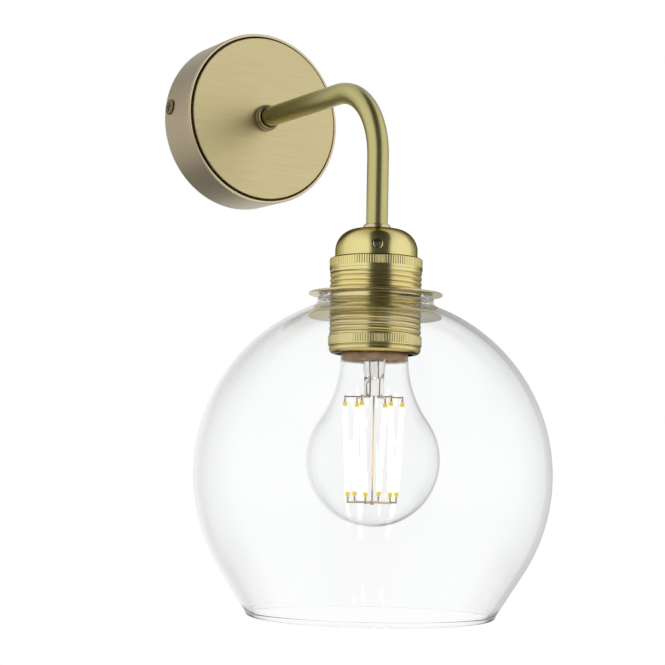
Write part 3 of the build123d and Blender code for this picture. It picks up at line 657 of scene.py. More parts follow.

# The lip's front face gets a lighter colour, partly its own tone and partly a painted highlight.
tint_beyond(rim_brass, (0, -1, 0), ROSE_DEPTH - LIP_FACE, LIP_TONE_AND_HIGHLIGHT)
# Painted shade: the cup is darkened inside the lip, in the gap round the disc.
tint_inside(rim_brass, ROSE_RADIUS - LIP_WIDTH, GAP_PAINTED_SHADE, upright=False)
tint_inside(rim_brass, PLATE_RADIUS - UNDER_DISC, WEB_COLOUR, upright=False)
pen = Pen(upright=False).outline(
    (ARM_HOLE, PLATE_BACK),
    (ROSE_RADIUS - LIP_WIDTH, PLATE_BACK),
    (ROSE_RADIUS - LIP_WIDTH, ROSE_DEPTH),
    (ROSE_RADIUS, ROSE_DEPTH),
    (ROSE_RADIUS, 0),
    (ROSE_RADIUS - RIM_WALL, 0),
    (ROSE_RADIUS - RIM_WALL, PLATE_BACK - WEB),
    (ARM_HOLE, PLATE_BACK - WEB),
)
piece("rose_cup", pen.spin(steps=160, soften=0.45), rim_brass, "rose_brass", "base", "rose_rim")

# %% Rose front plate
pen = Pen(upright=False).outline(
    (ARM_HOLE, PLATE_BACK),
    (PLATE_RADIUS, PLATE_BACK),
    (PLATE_RADIUS, PLATE_FRONT),
    (ARM_HOLE, PLATE_FRONT),
)
disc = pen.spin(steps=160, soften=0.3)
piece("rose_disc", disc, satin_brass, "plate_brass", "base", "rose_front_plate")

# %% [markdown]
# ## The arm
#
# The arm is a tube with one bend. A bevelled curve could make it too, but not its bore. A circle is extruded
# out of the rose, spun a quarter turn for the bend and extruded down to the lampholder. The bore is a second,
# narrower tube, and the open ends are bridged.

# %% Arm tube
arm_low, arm_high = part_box("arm_tube")
ARM_RADIUS, ARM_BORE, ARM_BEND = arm_high.x, 4.0 * mm, 35.0 * mm
ARM_SIDES, BEND_STEPS = 48, 24


def push(bm, edges, step):
    """Extrudes a loop of edges by a step and gives back the new loop."""
    made = bmesh.ops.extrude_edge_only(bm, edges=edges)["geom"]
    bmesh.ops.translate(bm, verts=[g for g in made if isinstance(g, bmesh.types.BMVert)], vec=step)
    return [g for g in made if isinstance(g, bmesh.types.BMEdge) and g.is_boundary]


def bent_tube(bm, radius):
    """A tube along the arm's line, and its two end loops."""
    start = Matrix.Translation((0, arm_high.y, 0)) @ Matrix.Rotation(math.pi / 2, 4, "X")
    ring = bmesh.ops.create_circle(bm, segments=ARM_SIDES, radius=radius, matrix=start)["verts"]
    first = list({e for v in ring for e in v.link_edges})
    bend_start = LAMP_Y + ARM_BEND
    loop = push(bm, first, (0, bend_start - arm_high.y, 0))
    corners = list({v for e in loop for v in e.verts})
    made = bmesh.ops.spin(bm, geom=loop + corners, cent=(0, bend_start, -ARM_BEND), axis=(1, 0, 0),
                          angle=math.pi / 2, steps=BEND_STEPS, use_merge=False)["geom_last"]
    loop = [g for g in made if isinstance(g, bmesh.types.BMEdge)]
    return first, push(bm, loop, (0, 0, arm_low.z + ARM_BEND))


bm = bmesh.new()
outer_ends, bore_ends = bent_tube(bm, ARM_RADIUS), bent_tube(bm, ARM_BORE)
for outer, bore in zip(outer_ends, bore_ends):
    bmesh.ops.bridge_loops(bm, edges=outer + bore)
tidy(bm)
piece("arm_bent_tube", bm, arm_brass, "arm_brass", "base", "arm_tube")

# %% [markdown]
# ## Collar and ferrule
#
# A stepped collar hides the hole in the disc, and a small ring covers the place where the arm goes into the
# lampholder. Both are plain turned rings, so the pen draws them. Close to the arm the collar is painted dark:
# painted shade where the arm goes in.

# %% Collar
collar_low, collar_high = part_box("arm_collar")
COLLAR_RADIUS, COLLAR_FRONT = collar_high.x / mm, -collar_low.y / mm
COLLAR_STEP, ROOT_RING = 0.5, 0.5
ROOT_PAINTED_SHADE = (0.06, 0.045, 0.02)
COLLAR_MIDDLE = (PLATE_FRONT + COLLAR_FRONT) / 2

# Painted shade: a dark ring on the collar round the arm.
tint_inside(collar_brass, ARM_HOLE + ROOT_RING, ROOT_PAINTED_SHADE, upright=False)
pen = Pen(upright=False).outline(
    (ARM_HOLE, PLATE_FRONT),
    (COLLAR_RADIUS, PLATE_FRONT),
    (COLLAR_RADIUS, COLLAR_MIDDLE),
    (COLLAR_RADIUS - COLLAR_STEP, COLLAR_MIDDLE),
    (COLLAR_RADIUS - COLLAR_STEP, COLLAR_FRONT - COLLAR_STEP),
    (COLLAR_RADIUS - 2 * COLLAR_STEP, COLLAR_FRONT),
    (ARM_HOLE, COLLAR_FRONT),
)
collar = pen.spin(steps=96, soften=0.2)
piece("arm_stepped_collar", collar, collar_brass, "arm_brass", "base", "arm_collar")

# %% Ferrule
ferrule_low, ferrule_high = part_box("arm_ferrule")
FERRULE_RADIUS, FERRULE_CHAMFER = ferrule_high.x / mm, 0.7
pen = Pen(upright=True).outline(
    (ARM_HOLE, ferrule_low.z / mm),
    (FERRULE_RADIUS, ferrule_low.z / mm),
    (FERRULE_RADIUS, ferrule_high.z / mm - FERRULE_CHAMFER),
    (FERRULE_RADIUS - FERRULE_CHAMFER, ferrule_high.z / mm),
    (ARM_HOLE, ferrule_high.z / mm),
)
piece("arm_end_ring", pen.spin(steps=96, soften=0.2), ring_brass, "arm_brass", "base", "arm_ferrule")

# %% [markdown]
# ## Knurls and rolled threads
#
# Two details make the lampholder: fine upright ribs that help fingers turn a ring, and a rolled thread that
# the shade rings run on. A bump could fake both, but their outlines show against the white. A rib ring is a
# plain ring spun in four steps for each rib, with every second pair of columns of its outer vertices scaled
# inwards. A thread is one wave of its outline spun for many turns while each step also moves down a little,
# so the end of one turn meets the start of the next.

# %% Rib ring
COLUMNS = 4


def ribbed_ring(radius, inner, top, bottom, ribs, depth, chamfer=0.35):
    """A closed ring with upright ribs round it, in four columns for each rib: two out and two in."""
    pen = Pen(upright=True).outline((inner, top), (radius - chamfer, top), (radius, top - chamfer),
                                    (radius, bottom), (inner, bottom))
    bm = pen.spin(steps=COLUMNS * ribs)
    step = math.tau / (COLUMNS * ribs)
    outer = {v for v in bm.verts if math.hypot(v.co.x, v.co.y - LAMP_Y) > (radius - chamfer / 2) * mm}
    hollow = [v for v in outer if round(math.atan2(v.co.y - LAMP_Y, v.co.x) / step) % COLUMNS > 1]
    shrink = (radius - depth) / radius
    bmesh.ops.scale(bm, vec=(shrink, shrink, 1), verts=hollow, space=Matrix.Translation((0, -LAMP_Y, 0)))
    for edge in bm.edges:
        edge.smooth = not all(v in outer for v in edge.verts)
    return bm


print("rib rings with", COLUMNS, "columns for each rib")

# %% Rolled thread
WAVE_POINTS, TURN_STEPS, SPARE_TURNS, CREST_WIDTH = 8, 72, 2, 1.6
SEAM_GAP, CUT_SLACK, LEVEL_SLACK = 0.03, 0.0005 * mm, 0.01 * mm


def reach(bm, edges, radius):
    """Extrudes a loop of edges level to a circle round the lamp and gives back the new loop."""
    made = bmesh.ops.extrude_edge_only(bm, edges=edges)["geom"]
    for v in (g for g in made if isinstance(g, bmesh.types.BMVert)):
        out = Vector((v.co.x, v.co.y - LAMP_Y, 0)).normalized() * radius * mm
        v.co.x, v.co.y = out.x, LAMP_Y + out.y
    return [g for g in made if isinstance(g, bmesh.types.BMEdge) and g.is_boundary]


def rolled_thread(crest, inner, top, bottom, pitch, depth):
    """A closed sleeve with a rolled thread on its outside."""
    wave = []
    for k in range(WAVE_POINTS + 1):
        dip = depth * (0.5 - 0.5 * math.cos(math.tau * k / WAVE_POINTS)) ** CREST_WIDTH
        wave.append((crest - dip, top + pitch - pitch * k / WAVE_POINTS))
    pen = Pen(upright=True)
    bm = pen.start(*wave[0]).line(*wave[1:]).bm
    turns = math.ceil((top - bottom) / pitch) + SPARE_TURNS
    bmesh.ops.spin(bm, geom=bm.verts[:] + bm.edges[:], cent=pen.place(0, 0), axis=(0, 0, 1),
                   dvec=(0, 0, -pitch * mm / TURN_STEPS), angle=math.tau * turns, steps=TURN_STEPS * turns,
                   use_merge=False)
    tidy(bm, SEAM_GAP)
    for level, side in ((top, 1), (bottom, -1)):
        bmesh.ops.bisect_plane(bm, geom=bm.verts[:] + bm.edges[:] + bm.faces[:], dist=CUT_SLACK,
                               plane_co=pen.place(0, level), plane_no=(0, 0, side), clear_outer=True)
    ends = []
    for level in (top, bottom):
        rim = [e for e in bm.edges if e.is_boundary
               and all(abs(v.co.z - level * mm) < LEVEL_SLACK for v in e.verts)]
        ends += reach(bm, rim, inner)
    bmesh.ops.bridge_loops(bm, edges=ends)
    tidy(bm)
    return bm


print("threads with", TURN_STEPS, "steps for each turn")

# %% [markdown]
# ## The lampholder cap
#
# The cap is spun brass: a flat top, a wide round shoulder, a straight side and a wider union collar. The boss
# inside takes the arm's end. The collar's upper part is ribbed and its lower edge is plain. A Boolean could
# cut the hole of the set screw, but it leaves slivers in the smooth dome, so the hole is opened by hand: its
# vertices go, the edge is moved to a circle, and the edge is pushed inwards. It is a little narrower than the
# screw, so that its edge covers the screw's rim. The top of the dome is painted a darker amber: painted
# shade.

# %% Holes and shells
SKIN_SHARE, CHAMFER_SHARE, CHAMFER_TAPER = 0.6, 0.4, 0.28


def drill(bm, centre, axis, radius, depth):
    """Opens a round hole in the outer skin, with a chamfer and a short wall."""
    def aside(point):
        return (point - centre) - axis * (point - centre).dot(axis)

    inside = [v for v in bm.verts if aside(v.co).length < radius
              and (v.co - centre).dot(axis) > -depth * SKIN_SHARE]
    bmesh.ops.delete(bm, geom=inside, context="VERTS")
    rim = [e for e in bm.edges if e.is_boundary]
    for v in {v for e in rim for v in e.verts}:
        v.co += aside(v.co).normalized() * radius - aside(v.co)
    rim = push(bm, rim, -axis * CHAMFER_SHARE * depth)
    for v in {v for e in rim for v in e.verts}:
        v.co -= aside(v.co) * CHAMFER_TAPER
    push(bm, rim, -axis * depth)


def joined(*parts):
    """Puts several closed shells into one mesh."""
    whole = bmesh.new()
    for part in parts:
        carrier = bpy.data.meshes.new("carrier")
        part.to_mesh(carrier)
        part.free()
        whole.from_mesh(carrier)
        bpy.data.meshes.remove(carrier)
    return whole


print("helpers for holes and shells are ready")

# %% Lampholder cap
cap_low, cap_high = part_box("lampholder_cap")
CAP_TOP, UNION_BASE, UNION_RADIUS = cap_high.z / mm, cap_low.z / mm, cap_high.x / mm
DOME_RADIUS, SHOULDER, DOME_HEIGHT = 18.65, 10.0, 13.0
UNION_SLOPE, CAP_WALL = 1.2, 1.2
BOSS_RADIUS, BOSS_LENGTH = 8.5, 12.2
RIB_COUNT, RIB_DEPTH, RIB_HEIGHT, RIB_LAP = 116, 0.10, 3.9, 0.6
SIDE_ROWS = 10
DOME_BASE = CAP_TOP - DOME_HEIGHT
RIB_TOP = DOME_BASE - UNION_SLOPE + RIB_LAP
UNION_CEILING = DOME_BASE - UNION_SLOPE - CAP_WALL / 2
shoulder_centre = (DOME_RADIUS - SHOULDER, CAP_TOP - SHOULDER)
side_length = DOME_HEIGHT - SHOULDER

pen = Pen(upright=True)
pen.start(ARM_HOLE, CAP_TOP).line((DOME_RADIUS - SHOULDER, CAP_TOP))
pen.arc(shoulder_centre, -90, steps=40)
pen.line(*[(DOME_RADIUS, CAP_TOP - SHOULDER - side_length * k / SIDE_ROWS) for k in range(1, SIDE_ROWS + 1)])
pen.line(
    (UNION_RADIUS - RIB_DEPTH, DOME_BASE - UNION_SLOPE),
    (UNION_RADIUS - RIB_DEPTH, RIB_TOP - RIB_HEIGHT),
    (UNION_RADIUS, RIB_TOP - RIB_HEIGHT),
    (UNION_RADIUS, UNION_BASE),
    (UNION_RADIUS - CAP_WALL, UNION_BASE),
    (UNION_RADIUS - CAP_WALL, UNION_CEILING),
    (DOME_RADIUS - CAP_WALL, UNION_CEILING),
    (DOME_RADIUS - CAP_WALL, CAP_TOP - SHOULDER),
)
pen.arc(shoulder_centre, 90, steps=20)
pen.line((BOSS_RADIUS, CAP_TOP - CAP_WALL), (BOSS_RADIUS, CAP_TOP - BOSS_LENGTH),
         (ARM_HOLE, CAP_TOP - BOSS_LENGTH)).close()
dome = pen.spin(steps=240, soften=0.15)
print(f"dome of {2 * DOME_RADIUS} mm on a collar of {2 * UNION_RADIUS:.1f} mm")

# %% Hole of the set screw, ribs and painted shade on the top
screw_low, screw_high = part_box("cap_set_screw")
SCREW_RADIUS, SCREW_TURN = (screw_high.z - screw_low.z) / 2, math.radians(32)
SCREW_COVER, HOLE_DEPTH = 0.25 * mm, 1.0 * mm
AMBER_DEPTH, AMBER_BLUR, DOME_TOP_PAINTED_SHADE = 2.5, 1.6, (0.70, 0.49, 0.18)

screw_level = (screw_high.z + screw_low.z) / 2
outwards = Vector((-math.sin(SCREW_TURN), -math.cos(SCREW_TURN), 0))
up_shoulder = screw_level - (CAP_TOP - SHOULDER) * mm
skin = (DOME_RADIUS - SHOULDER) * mm + math.sqrt((SHOULDER * mm) ** 2 - up_shoulder ** 2)
screw_mouth = Vector((0, LAMP_Y, screw_level)) + outwards * skin
drill(dome, screw_mouth, outwards, SCREW_RADIUS - SCREW_COVER, HOLE_DEPTH)
ribs = ribbed_ring(UNION_RADIUS, UNION_RADIUS - CAP_WALL / 2, RIB_TOP, RIB_TOP - RIB_HEIGHT, RIB_COUNT,
                   RIB_DEPTH)
# Painted shade: the top of the dome is darkened to amber.
tint_beyond(holder_brass, (0, 0, 1), CAP_TOP - AMBER_DEPTH, DOME_TOP_PAINTED_SHADE, blur=AMBER_BLUR)
piece("holder_dome", joined(dome, ribs), holder_brass, "holder_brass", "base", "lampholder_cap")

# %% [markdown]
# ## The lampholder skirt
#
# Below the cap comes a threaded barrel with a ribbed band and a rolled-in lip at its foot. One mesh with
# thread and ribs in it would be hard to mend, so the barrel is turned at the depth of the thread's grooves,
# and the thread sleeve and the ribs sit round it. The grooves are painted a darker amber, partly as shade,
# and the inside and the underside of the lip are painted dark as shade.

# %% Barrel of the skirt
skirt_low, skirt_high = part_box("lampholder_skirt")
SKIRT_BASE, NECK_TOP, BAND_RADIUS = skirt_low.z / mm, skirt_high.z / mm, skirt_high.x / mm
THREAD_RADIUS, THREAD_PITCH, THREAD_DEPTH = 20.75, 2.4, 0.5
SKIRT_WALL, NECK_RADIUS, BARREL_EXTRA = 0.9, 19.75, 0.3
BAND_HEIGHT, BAND_PLAIN, BAND_EDGE = 4.7, 0.9, 0.3
LIP_HEIGHT, LIP_RADIUS, LIP_ROLL, LIP_EDGE, OPENING = 3.4, 20.7, 2.4, 0.5, 17.5
GROOVE_DEPTH, GROOVE_TOP, GROOVE_FOOT = 0.4, 0.1, 0.2
PLAIN_TOP, CORE_GAP, SLEEVE_LAP = 1.5, 0.1, 0.05
BAND_BASE = SKIRT_BASE + LIP_HEIGHT
THREAD_BASE = BAND_BASE + BAND_HEIGHT
THREAD_TOP = UNION_BASE - PLAIN_TOP
CORE = THREAD_RADIUS - THREAD_DEPTH - CORE_GAP
INNER = THREAD_RADIUS - SKIRT_WALL

pen = Pen(upright=True)
pen.start(NECK_RADIUS - SKIRT_WALL, NECK_TOP).line(
    (NECK_RADIUS, NECK_TOP),
    (NECK_RADIUS, UNION_BASE),
    (THREAD_RADIUS, UNION_BASE),
    (THREAD_RADIUS, THREAD_TOP),
    (CORE, THREAD_TOP),
    (CORE, THREAD_BASE),
    (BAND_RADIUS - RIB_DEPTH, THREAD_BASE),
    (BAND_RADIUS - RIB_DEPTH, BAND_BASE + BAND_PLAIN),
    (BAND_RADIUS, BAND_BASE + BAND_PLAIN),
    (BAND_RADIUS, BAND_BASE + BAND_EDGE),
    (LIP_RADIUS - GROOVE_DEPTH, BAND_BASE + GROOVE_TOP),
    (LIP_RADIUS - GROOVE_DEPTH, BAND_BASE - GROOVE_FOOT),
    (LIP_RADIUS, BAND_BASE - LIP_EDGE),
    (LIP_RADIUS, SKIRT_BASE + LIP_ROLL),
)
pen.arc((LIP_RADIUS - LIP_ROLL, SKIRT_BASE + LIP_ROLL), -90, steps=12)
pen.line(
    (OPENING, SKIRT_BASE),
    (OPENING, SKIRT_BASE + SKIRT_WALL),
    (LIP_RADIUS - LIP_ROLL, SKIRT_BASE + SKIRT_WALL),
    (INNER - BARREL_EXTRA, SKIRT_BASE + LIP_ROLL),
    (INNER - BARREL_EXTRA, UNION_BASE - SKIRT_WALL),
    (NECK_RADIUS - SKIRT_WALL, UNION_BASE - SKIRT_WALL),
).close()
barrel = pen.spin(steps=144, soften=0.12)
print(f"barrel from {SKIRT_BASE:.1f} to {NECK_TOP:.1f} mm")

# %% Thread, ribs and painted shade of the skirt
GROOVE_AMBER_AND_SHADE, INSIDE_PAINTED_SHADE = (0.74, 0.56, 0.20), (0.17, 0.12, 0.05)
AMBER_START, AMBER_SPREAD, DARK_BLUR = 0.7 * THREAD_DEPTH, 0.4 * THREAD_DEPTH, 0.3

# The grooves get a darker amber, which is partly painted shade.
tint_inside(thread_brass, THREAD_RADIUS - AMBER_START, GROOVE_AMBER_AND_SHADE, upright=True, blur=AMBER_SPREAD)
# Painted shade: inside the barrel and under the lip the brass is darkened.
tint_inside(thread_brass, INNER, INSIDE_PAINTED_SHADE, upright=True, blur=DARK_BLUR)
thread = rolled_thread(THREAD_RADIUS, CORE - SLEEVE_LAP, THREAD_TOP, THREAD_BASE, THREAD_PITCH, THREAD_DEPTH)
ribs = ribbed_ring(BAND_RADIUS, CORE, THREAD_BASE, BAND_BASE + BAND_PLAIN, RIB_COUNT, RIB_DEPTH)
piece("holder_threaded_barrel", joined(barrel, thread, ribs), thread_brass, "holder_brass", "base",
      "lampholder_skirt")

# %% [markdown]
# ## The shade rings
#
# Two flat threaded rings clamp the globe's top between them. They are alike, so one function turns both as
# discs with softened rims.

# %% Shade rings
RING_CLEARANCE = 0.3


def shade_ring(name, node, body):
    """A flat ring in the box of its solid."""
    low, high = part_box(node)
    bore = THREAD_RADIUS + RING_CLEARANCE
    pen = Pen(upright=True).outline(
        (bore, low.z / mm), (high.x / mm, low.z / mm), (high.x / mm, high.z / mm), (bore, high.z / mm)
    )
    piece(name, pen.spin(steps=144, soften=0.28), ring_brass, "ring_brass", body, node)


shade_ring("ring_over_glass", "upper_shade_ring", "upper_ring")
shade_ring("ring_under_glass", "lower_shade_ring", "lower_ring")

# %% [markdown]
# ## The glass globe
#
# The globe looks as if it was blown into a mould: its top is a raised flat with a round foot, its lower wall
# runs straight in to the mouth, and the cut mouth was melted round into a bead. A ball with a Solidify
# modifier would have no bead. One closed outline holds the outside, the bead and the inside, so the wall has
# a true thickness and refracts as glass does.

# %% Sizes of the globe
shade_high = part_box("glass_shade")[1]
SHADE_TOP, GLOBE_RADIUS = shade_high.z / mm, shade_high.x / mm
WALL, HOLE, EDGE = 2.2, 21.6, 1.0
PLATEAU, PLATEAU_HEIGHT, PLATEAU_ROUND, FOOT = 26.2, 4.2, 1.6, 3.0
CONE_START, CONE_LENGTH, CONE_ROWS, BEAD = 32.5, 23.0, 6, 1.4
GLOBE_INSIDE = GLOBE_RADIUS - WALL
GLOBE_CENTRE = SHADE_TOP - PLATEAU_HEIGHT - math.sqrt(GLOBE_RADIUS ** 2 - PLATEAU ** 2)
CEILING = SHADE_TOP - WALL
slope = math.radians(CONE_START)
down_wall, out_of_wall = (-math.sin(slope), -math.cos(slope)), (math.cos(slope), -math.sin(slope))


def on_cone(radius, along):
    """Point beside the straight wall, at a radius about the globe's centre and a way down the wall."""
    return (radius * out_of_wall[0] + along * down_wall[0],
            GLOBE_CENTRE + radius * out_of_wall[1] + along * down_wall[1])


def foot_of(globe, wall):
    """Centre of the round at the foot of the raised top, and its angle at the globe's centre."""
    radius = wall + FOOT
    height = math.sqrt((globe + FOOT) ** 2 - radius ** 2)
    return (radius, GLOBE_CENTRE + height), math.degrees(math.atan2(height, radius))


bead_reach = math.sqrt(BEAD ** 2 - (WALL / 2) ** 2)
bead_turn = 360 - 2 * math.degrees(math.asin(WALL / 2 / BEAD))
straight = CONE_LENGTH - bead_reach
middle = GLOBE_RADIUS - WALL / 2
outer_foot, outer_angle = foot_of(GLOBE_RADIUS, PLATEAU)
inner_foot, inner_angle = foot_of(GLOBE_INSIDE, PLATEAU - WALL)
print(f"globe of {2 * GLOBE_RADIUS:.0f} mm with a straight wall of {straight:.1f} mm")

# %% Glass globe
pen = Pen(upright=True)
pen.start(HOLE + EDGE, CEILING)
pen.arc((HOLE + EDGE, CEILING + EDGE), -90, steps=6).line((HOLE, SHADE_TOP - EDGE))
pen.arc((HOLE + EDGE, SHADE_TOP - EDGE), -90, steps=6).line((PLATEAU - PLATEAU_ROUND, SHADE_TOP))
pen.arc((PLATEAU - PLATEAU_ROUND, SHADE_TOP - PLATEAU_ROUND), -90, steps=10)
pen.line((PLATEAU, outer_foot[1])).arc(outer_foot, outer_angle, steps=10)
pen.arc((0, GLOBE_CENTRE), -(outer_angle + CONE_START), steps=64)
pen.line(*[on_cone(GLOBE_RADIUS, straight * k / CONE_ROWS) for k in range(1, CONE_ROWS + 1)])
pen.arc(on_cone(middle, CONE_LENGTH), -bead_turn, steps=20)
pen.line(*[on_cone(GLOBE_INSIDE, straight * k / CONE_ROWS) for k in range(CONE_ROWS - 1, -1, -1)])
pen.arc((0, GLOBE_CENTRE), inner_angle + CONE_START, steps=64)
pen.arc(inner_foot, -inner_angle, steps=10).line((PLATEAU - WALL, CEILING - EDGE))
pen.arc((PLATEAU - WALL - EDGE, CEILING - EDGE), 90, steps=6).close()
piece("glass_globe", pen.spin(steps=192), clear_glass, "clear_glass", "shade", "glass_shade")

# %% [markdown]
# ## The bulb's glass
#
# The envelope is a ball that flares into a neck. The outline starts at the lowest point of the outside, runs
# up over the neck and comes back down the inside, so it begins and ends on the axis. In the photograph the
# top of the neck shows a coppery brown band, which may be the rim of the base or a reflection. Here it is
# painted on the glass: above a level the clear glass turns opaque and copper coloured, which is partly
# painted light.

# %% Painted copper band on the neck
COPPER_BAND_LEVEL, COPPER_BAND_BLUR, COPPER_BAND_ROUGH, BLOTCH = SKIRT_BASE - 2.8, 0.8, 0.25, 5 * mm
COPPER, COPPER_SHADE = (0.88, 0.60, 0.36), (0.58, 0.33, 0.14)

shader = shader_of(bulb_clear_glass)
where = object_place(bulb_clear_glass.node_tree)
# Above this level the glass is painted opaque copper, partly as painted light.
copper_band_mask = past(vector_node("DOT_PRODUCT", where, (0, 0, 1)), COPPER_BAND_LEVEL, COPPER_BAND_BLUR)
blend_in(bulb_clear_glass, copper_band_mask, two_tones(noise(where, BLOTCH), COPPER, COPPER_SHADE))
link(math_node("SUBTRACT", 1, copper_band_mask), shader.inputs["Transmission Weight"])
link(math_node("MULTIPLY", copper_band_mask, COPPER_BAND_ROUGH), shader.inputs["Roughness"])
print(f"coat above {COPPER_BAND_LEVEL:.1f} mm")

# %% Bulb glass
bulb_low, bulb_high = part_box("bulb_glass")
BALL, NECK, NECK_STRAIGHT, TAIL, TAIL_LENGTH, BULB_WALL = 30.0, 15.2, 2.0, 12.3, 4.5, 0.9
BULB_BOTTOM, TAIL_TOP = bulb_low.z / mm, bulb_high.z / mm
BALL_CENTRE, BULB_SHOULDER = BULB_BOTTOM + BALL, TAIL_TOP - TAIL_LENGTH
FLARE_LEVEL = BULB_SHOULDER - NECK_STRAIGHT
rise_up = FLARE_LEVEL - BALL_CENTRE
FLARE = (NECK ** 2 + rise_up ** 2 - BALL ** 2) / (2 * (BALL - NECK))
flare_angle = math.degrees(math.atan2(rise_up, NECK + FLARE))
flare_centre = (NECK + FLARE, FLARE_LEVEL)
tail_foot = BULB_SHOULDER + (NECK - TAIL) / 2

pen = Pen(upright=True)
pen.start(0, BULB_BOTTOM).arc((0, BALL_CENTRE), 90 + flare_angle, steps=56)
pen.arc(flare_centre, -flare_angle, steps=24)
pen.line(
    (NECK, BULB_SHOULDER),
    (TAIL, tail_foot),
    (TAIL, TAIL_TOP),
    (TAIL - BULB_WALL, TAIL_TOP),
    (TAIL - BULB_WALL, tail_foot - BULB_WALL),
    (NECK - BULB_WALL, BULB_SHOULDER - BULB_WALL),
    (NECK - BULB_WALL, FLARE_LEVEL),
)
pen.arc(flare_centre, flare_angle, steps=24)
pen.arc((0, BALL_CENTRE), -(90 + flare_angle), steps=56)
piece("bulb_envelope", pen.spin(steps=144), bulb_clear_glass, "bulb_clear_glass", "bulb", "bulb_glass")

# %% [markdown]
# ## Stem, filaments and base
#
# Inside the bulb a glass stem holds the lead wires. Its end was pinched flat while hot. A sculpted end would
# be hard to repeat, so the stem is turned and its lower loops are squeezed. The filaments are slim round rods
# from the upper to the lower wires.

# %% Glass stem
stem_low, stem_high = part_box("bulb_stem")
STEM_TOP, STEM_END, STEM_RIM = stem_high.z / mm, stem_low.z / mm, stem_high.x / mm
STEM_RADIUS, STEM_FLARE, STEM_WALL, STEM_SOLID, STEM_ROWS = 5.0, 6.0, 0.9, 8.0, 12
TIP_HEIGHT, TIP_FLAT, TIP_STEP, BORE_ROUND, RIM_GLASS = 0.8, 1.0, 0.2, 1, 1.6
# How much wider than the stem, and how far below its top, outside and inside.
FLARE_OUTSIDE, FLARE_INSIDE = [(0.6, 4), (2.2, 2)], [(1.4, 2), (-0.2, 4)]
PINCH, PINCH_START, PINCH_LENGTH = 0.45, 14, 9
tip_top = STEM_END + TIP_HEIGHT
shank = STEM_TOP - STEM_FLARE - STEM_END - TIP_HEIGHT

pen = Pen(upright=True)
pen.start(0, STEM_END).line((STEM_RADIUS - TIP_FLAT, STEM_END), (STEM_RADIUS - TIP_STEP, tip_top))
pen.line(*[(STEM_RADIUS, tip_top + shank * k / STEM_ROWS) for k in range(1, STEM_ROWS + 1)])
pen.line(*[(STEM_RADIUS + wider, STEM_TOP - drop) for wider, drop in FLARE_OUTSIDE])
pen.line((STEM_RIM, STEM_TOP), (STEM_RIM - RIM_GLASS, STEM_TOP))
pen.line(*[(STEM_RADIUS + wider, STEM_TOP - drop) for wider, drop in FLARE_INSIDE])
pen.line(
    (STEM_RADIUS - STEM_WALL, STEM_TOP - STEM_FLARE),
    (STEM_RADIUS - STEM_WALL, STEM_END + STEM_SOLID + BORE_ROUND),
    (STEM_RADIUS - 2 * STEM_WALL, STEM_END + STEM_SOLID),
    (0, STEM_END + STEM_SOLID),
)
bm = pen.spin(steps=64)
for v in bm.verts:
    low_share = min(max((STEM_END + PINCH_START - v.co.z / mm) / PINCH_LENGTH, 0), 1)
    flat = 1 - (1 - PINCH) * low_share * low_share * (3 - 2 * low_share)
    v.co.y = LAMP_Y + (v.co.y - LAMP_Y) * flat
piece("bulb_glass_stem", bm, stem_glass, "stem_glass", "bulb", "bulb_stem")


# %% Filaments
FILAMENTS, FILAMENT_RADIUS, FILAMENT_SIDES, FIRST_ANGLE, TWIST = 6, 0.95, 20, 32.0, 9.0
TOP_RADIUS, BOTTOM_RADIUS = 13.0, 11.2
END_GAP, END_ROUND = 0.1, 0.4


def beside_lamp(radius, degrees, height):
    """Point beside the lamp's axis."""
    angle = math.radians(degrees)
    return Vector((radius * mm * math.cos(angle), LAMP_Y + radius * mm * math.sin(angle), height))


bm = bmesh.new()
for index in range(FILAMENTS):
    angle = FIRST_ANGLE + 360 / FILAMENTS * index
    top = beside_lamp(TOP_RADIUS, angle, cage_high.z)
    bottom = beside_lamp(BOTTOM_RADIUS, angle + TWIST, cage_low.z)
    along = top - bottom
    place = Matrix.Translation((top + bottom) / 2) @ along.to_track_quat("Z", "Y").to_matrix().to_4x4()
    bmesh.ops.create_cone(bm, cap_ends=True, segments=FILAMENT_SIDES, radius1=FILAMENT_RADIUS * mm,
                          radius2=FILAMENT_RADIUS * mm, depth=along.length - END_GAP * mm, matrix=place)
round_edges(bm, END_ROUND, least=60)
piece("bulb_glowing_rods", bm, filament_glow, "filament_glow", "bulb", "bulb_filaments")

# %% [markdown]
# The bulb's metal base carries a coarse rolled thread. It is hidden in the lampholder until the bulb is
# screwed out, so it uses the same thread helper with a larger pitch.

# %% Screw base
base_low, base_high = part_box("bulb_base")
BASE_RADIUS, BASE_EDGE, BASE_TOP = base_high.x / mm, base_low.z / mm, base_high.z / mm
BASE_WALL, EYE, BASE_SLOPE, BASE_PITCH, BASE_DEPTH = 0.4, 8.0, 1.1, 3.629, 0.8
RIM_OUTSIDE, RIM_INSIDE, RIM_SLOPE = 2.4, 2.2, 0.8
BASE_GAP, BASE_LAP, THREAD_START, THREAD_END = 0.15, 0.1, 3.4, 0.6
BASE_CORE = BASE_RADIUS - BASE_DEPTH - BASE_GAP
BASE_SHOULDER = BASE_TOP - BASE_SLOPE

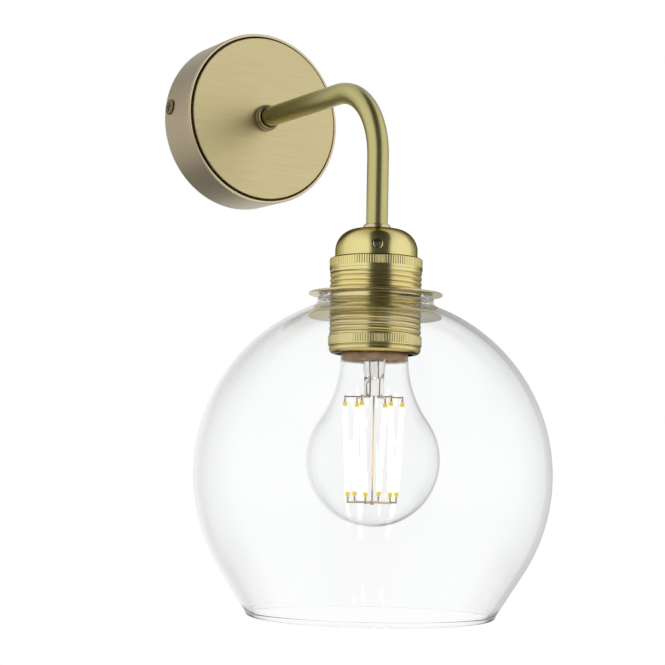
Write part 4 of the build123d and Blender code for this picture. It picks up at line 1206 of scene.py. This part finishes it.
pen = Pen(upright=True).outline(
    (EYE, BASE_TOP),
    (BASE_CORE, BASE_SHOULDER),
    (BASE_CORE, BASE_EDGE + RIM_OUTSIDE + RIM_SLOPE),
    (BASE_RADIUS, BASE_EDGE + RIM_OUTSIDE),
    (BASE_RADIUS, BASE_EDGE),
    (BASE_RADIUS - BASE_WALL, BASE_EDGE),
    (BASE_RADIUS - BASE_WALL, BASE_EDGE + RIM_INSIDE),
    (BASE_CORE - BASE_WALL, BASE_EDGE + RIM_INSIDE + RIM_SLOPE),
    (BASE_CORE - BASE_WALL, BASE_SHOULDER - BASE_WALL),
    (EYE, BASE_TOP - BASE_WALL),
)
shell = pen.spin(steps=96, soften=0.1)
thread = rolled_thread(BASE_RADIUS, BASE_CORE - BASE_LAP, BASE_SHOULDER - THREAD_END,
                       BASE_EDGE + THREAD_START, BASE_PITCH, BASE_DEPTH)
piece("bulb_screw_base", joined(shell, thread), base_nickel, "base_nickel", "bulb", "bulb_base")

# %% [markdown]
# ## Pieces that stay as they are
#
# Bracket, terminals, wires, screws and contacts are simple shapes whose solids are already right. They could
# be modelled again, but nothing would be gained, so they only get their finish.

# %% Finishes for the remaining solids
kept = {
    screw_brass: ["rose_side_screws"],
    set_screw_steel: ["cap_set_screw"],
    zinc_steel: ["wall_bracket", "terminal_screws", "earth_tag", "lock_washer", "arm_lock_nut"],
    contact_brass: ["terminal_barrels", "earth_screw", "holder_terminals", "contact_rivets", "shell_contact",
                    "centre_contact"],
    terminal_plastic: ["terminal_block"],
    white_ceramic: ["lampholder_insert"],
    wire_brown: ["wire_live"],
    wire_blue: ["wire_neutral"],
    wire_green_yellow: ["wire_earth"],
    black_insulator: ["bulb_insulator"],
    tip_solder: ["bulb_tip_contact"],
    driver_board: ["bulb_driver"],
    lead_steel: ["bulb_lead_wires", "bulb_filament_hub"],
}
for finish, names in kept.items():
    for name in names:
        nodes[name].data.materials.clear()
        nodes[name].data.materials.append(finish)
print(f"{sum(map(len, kept.values()))} solids keep their shape")
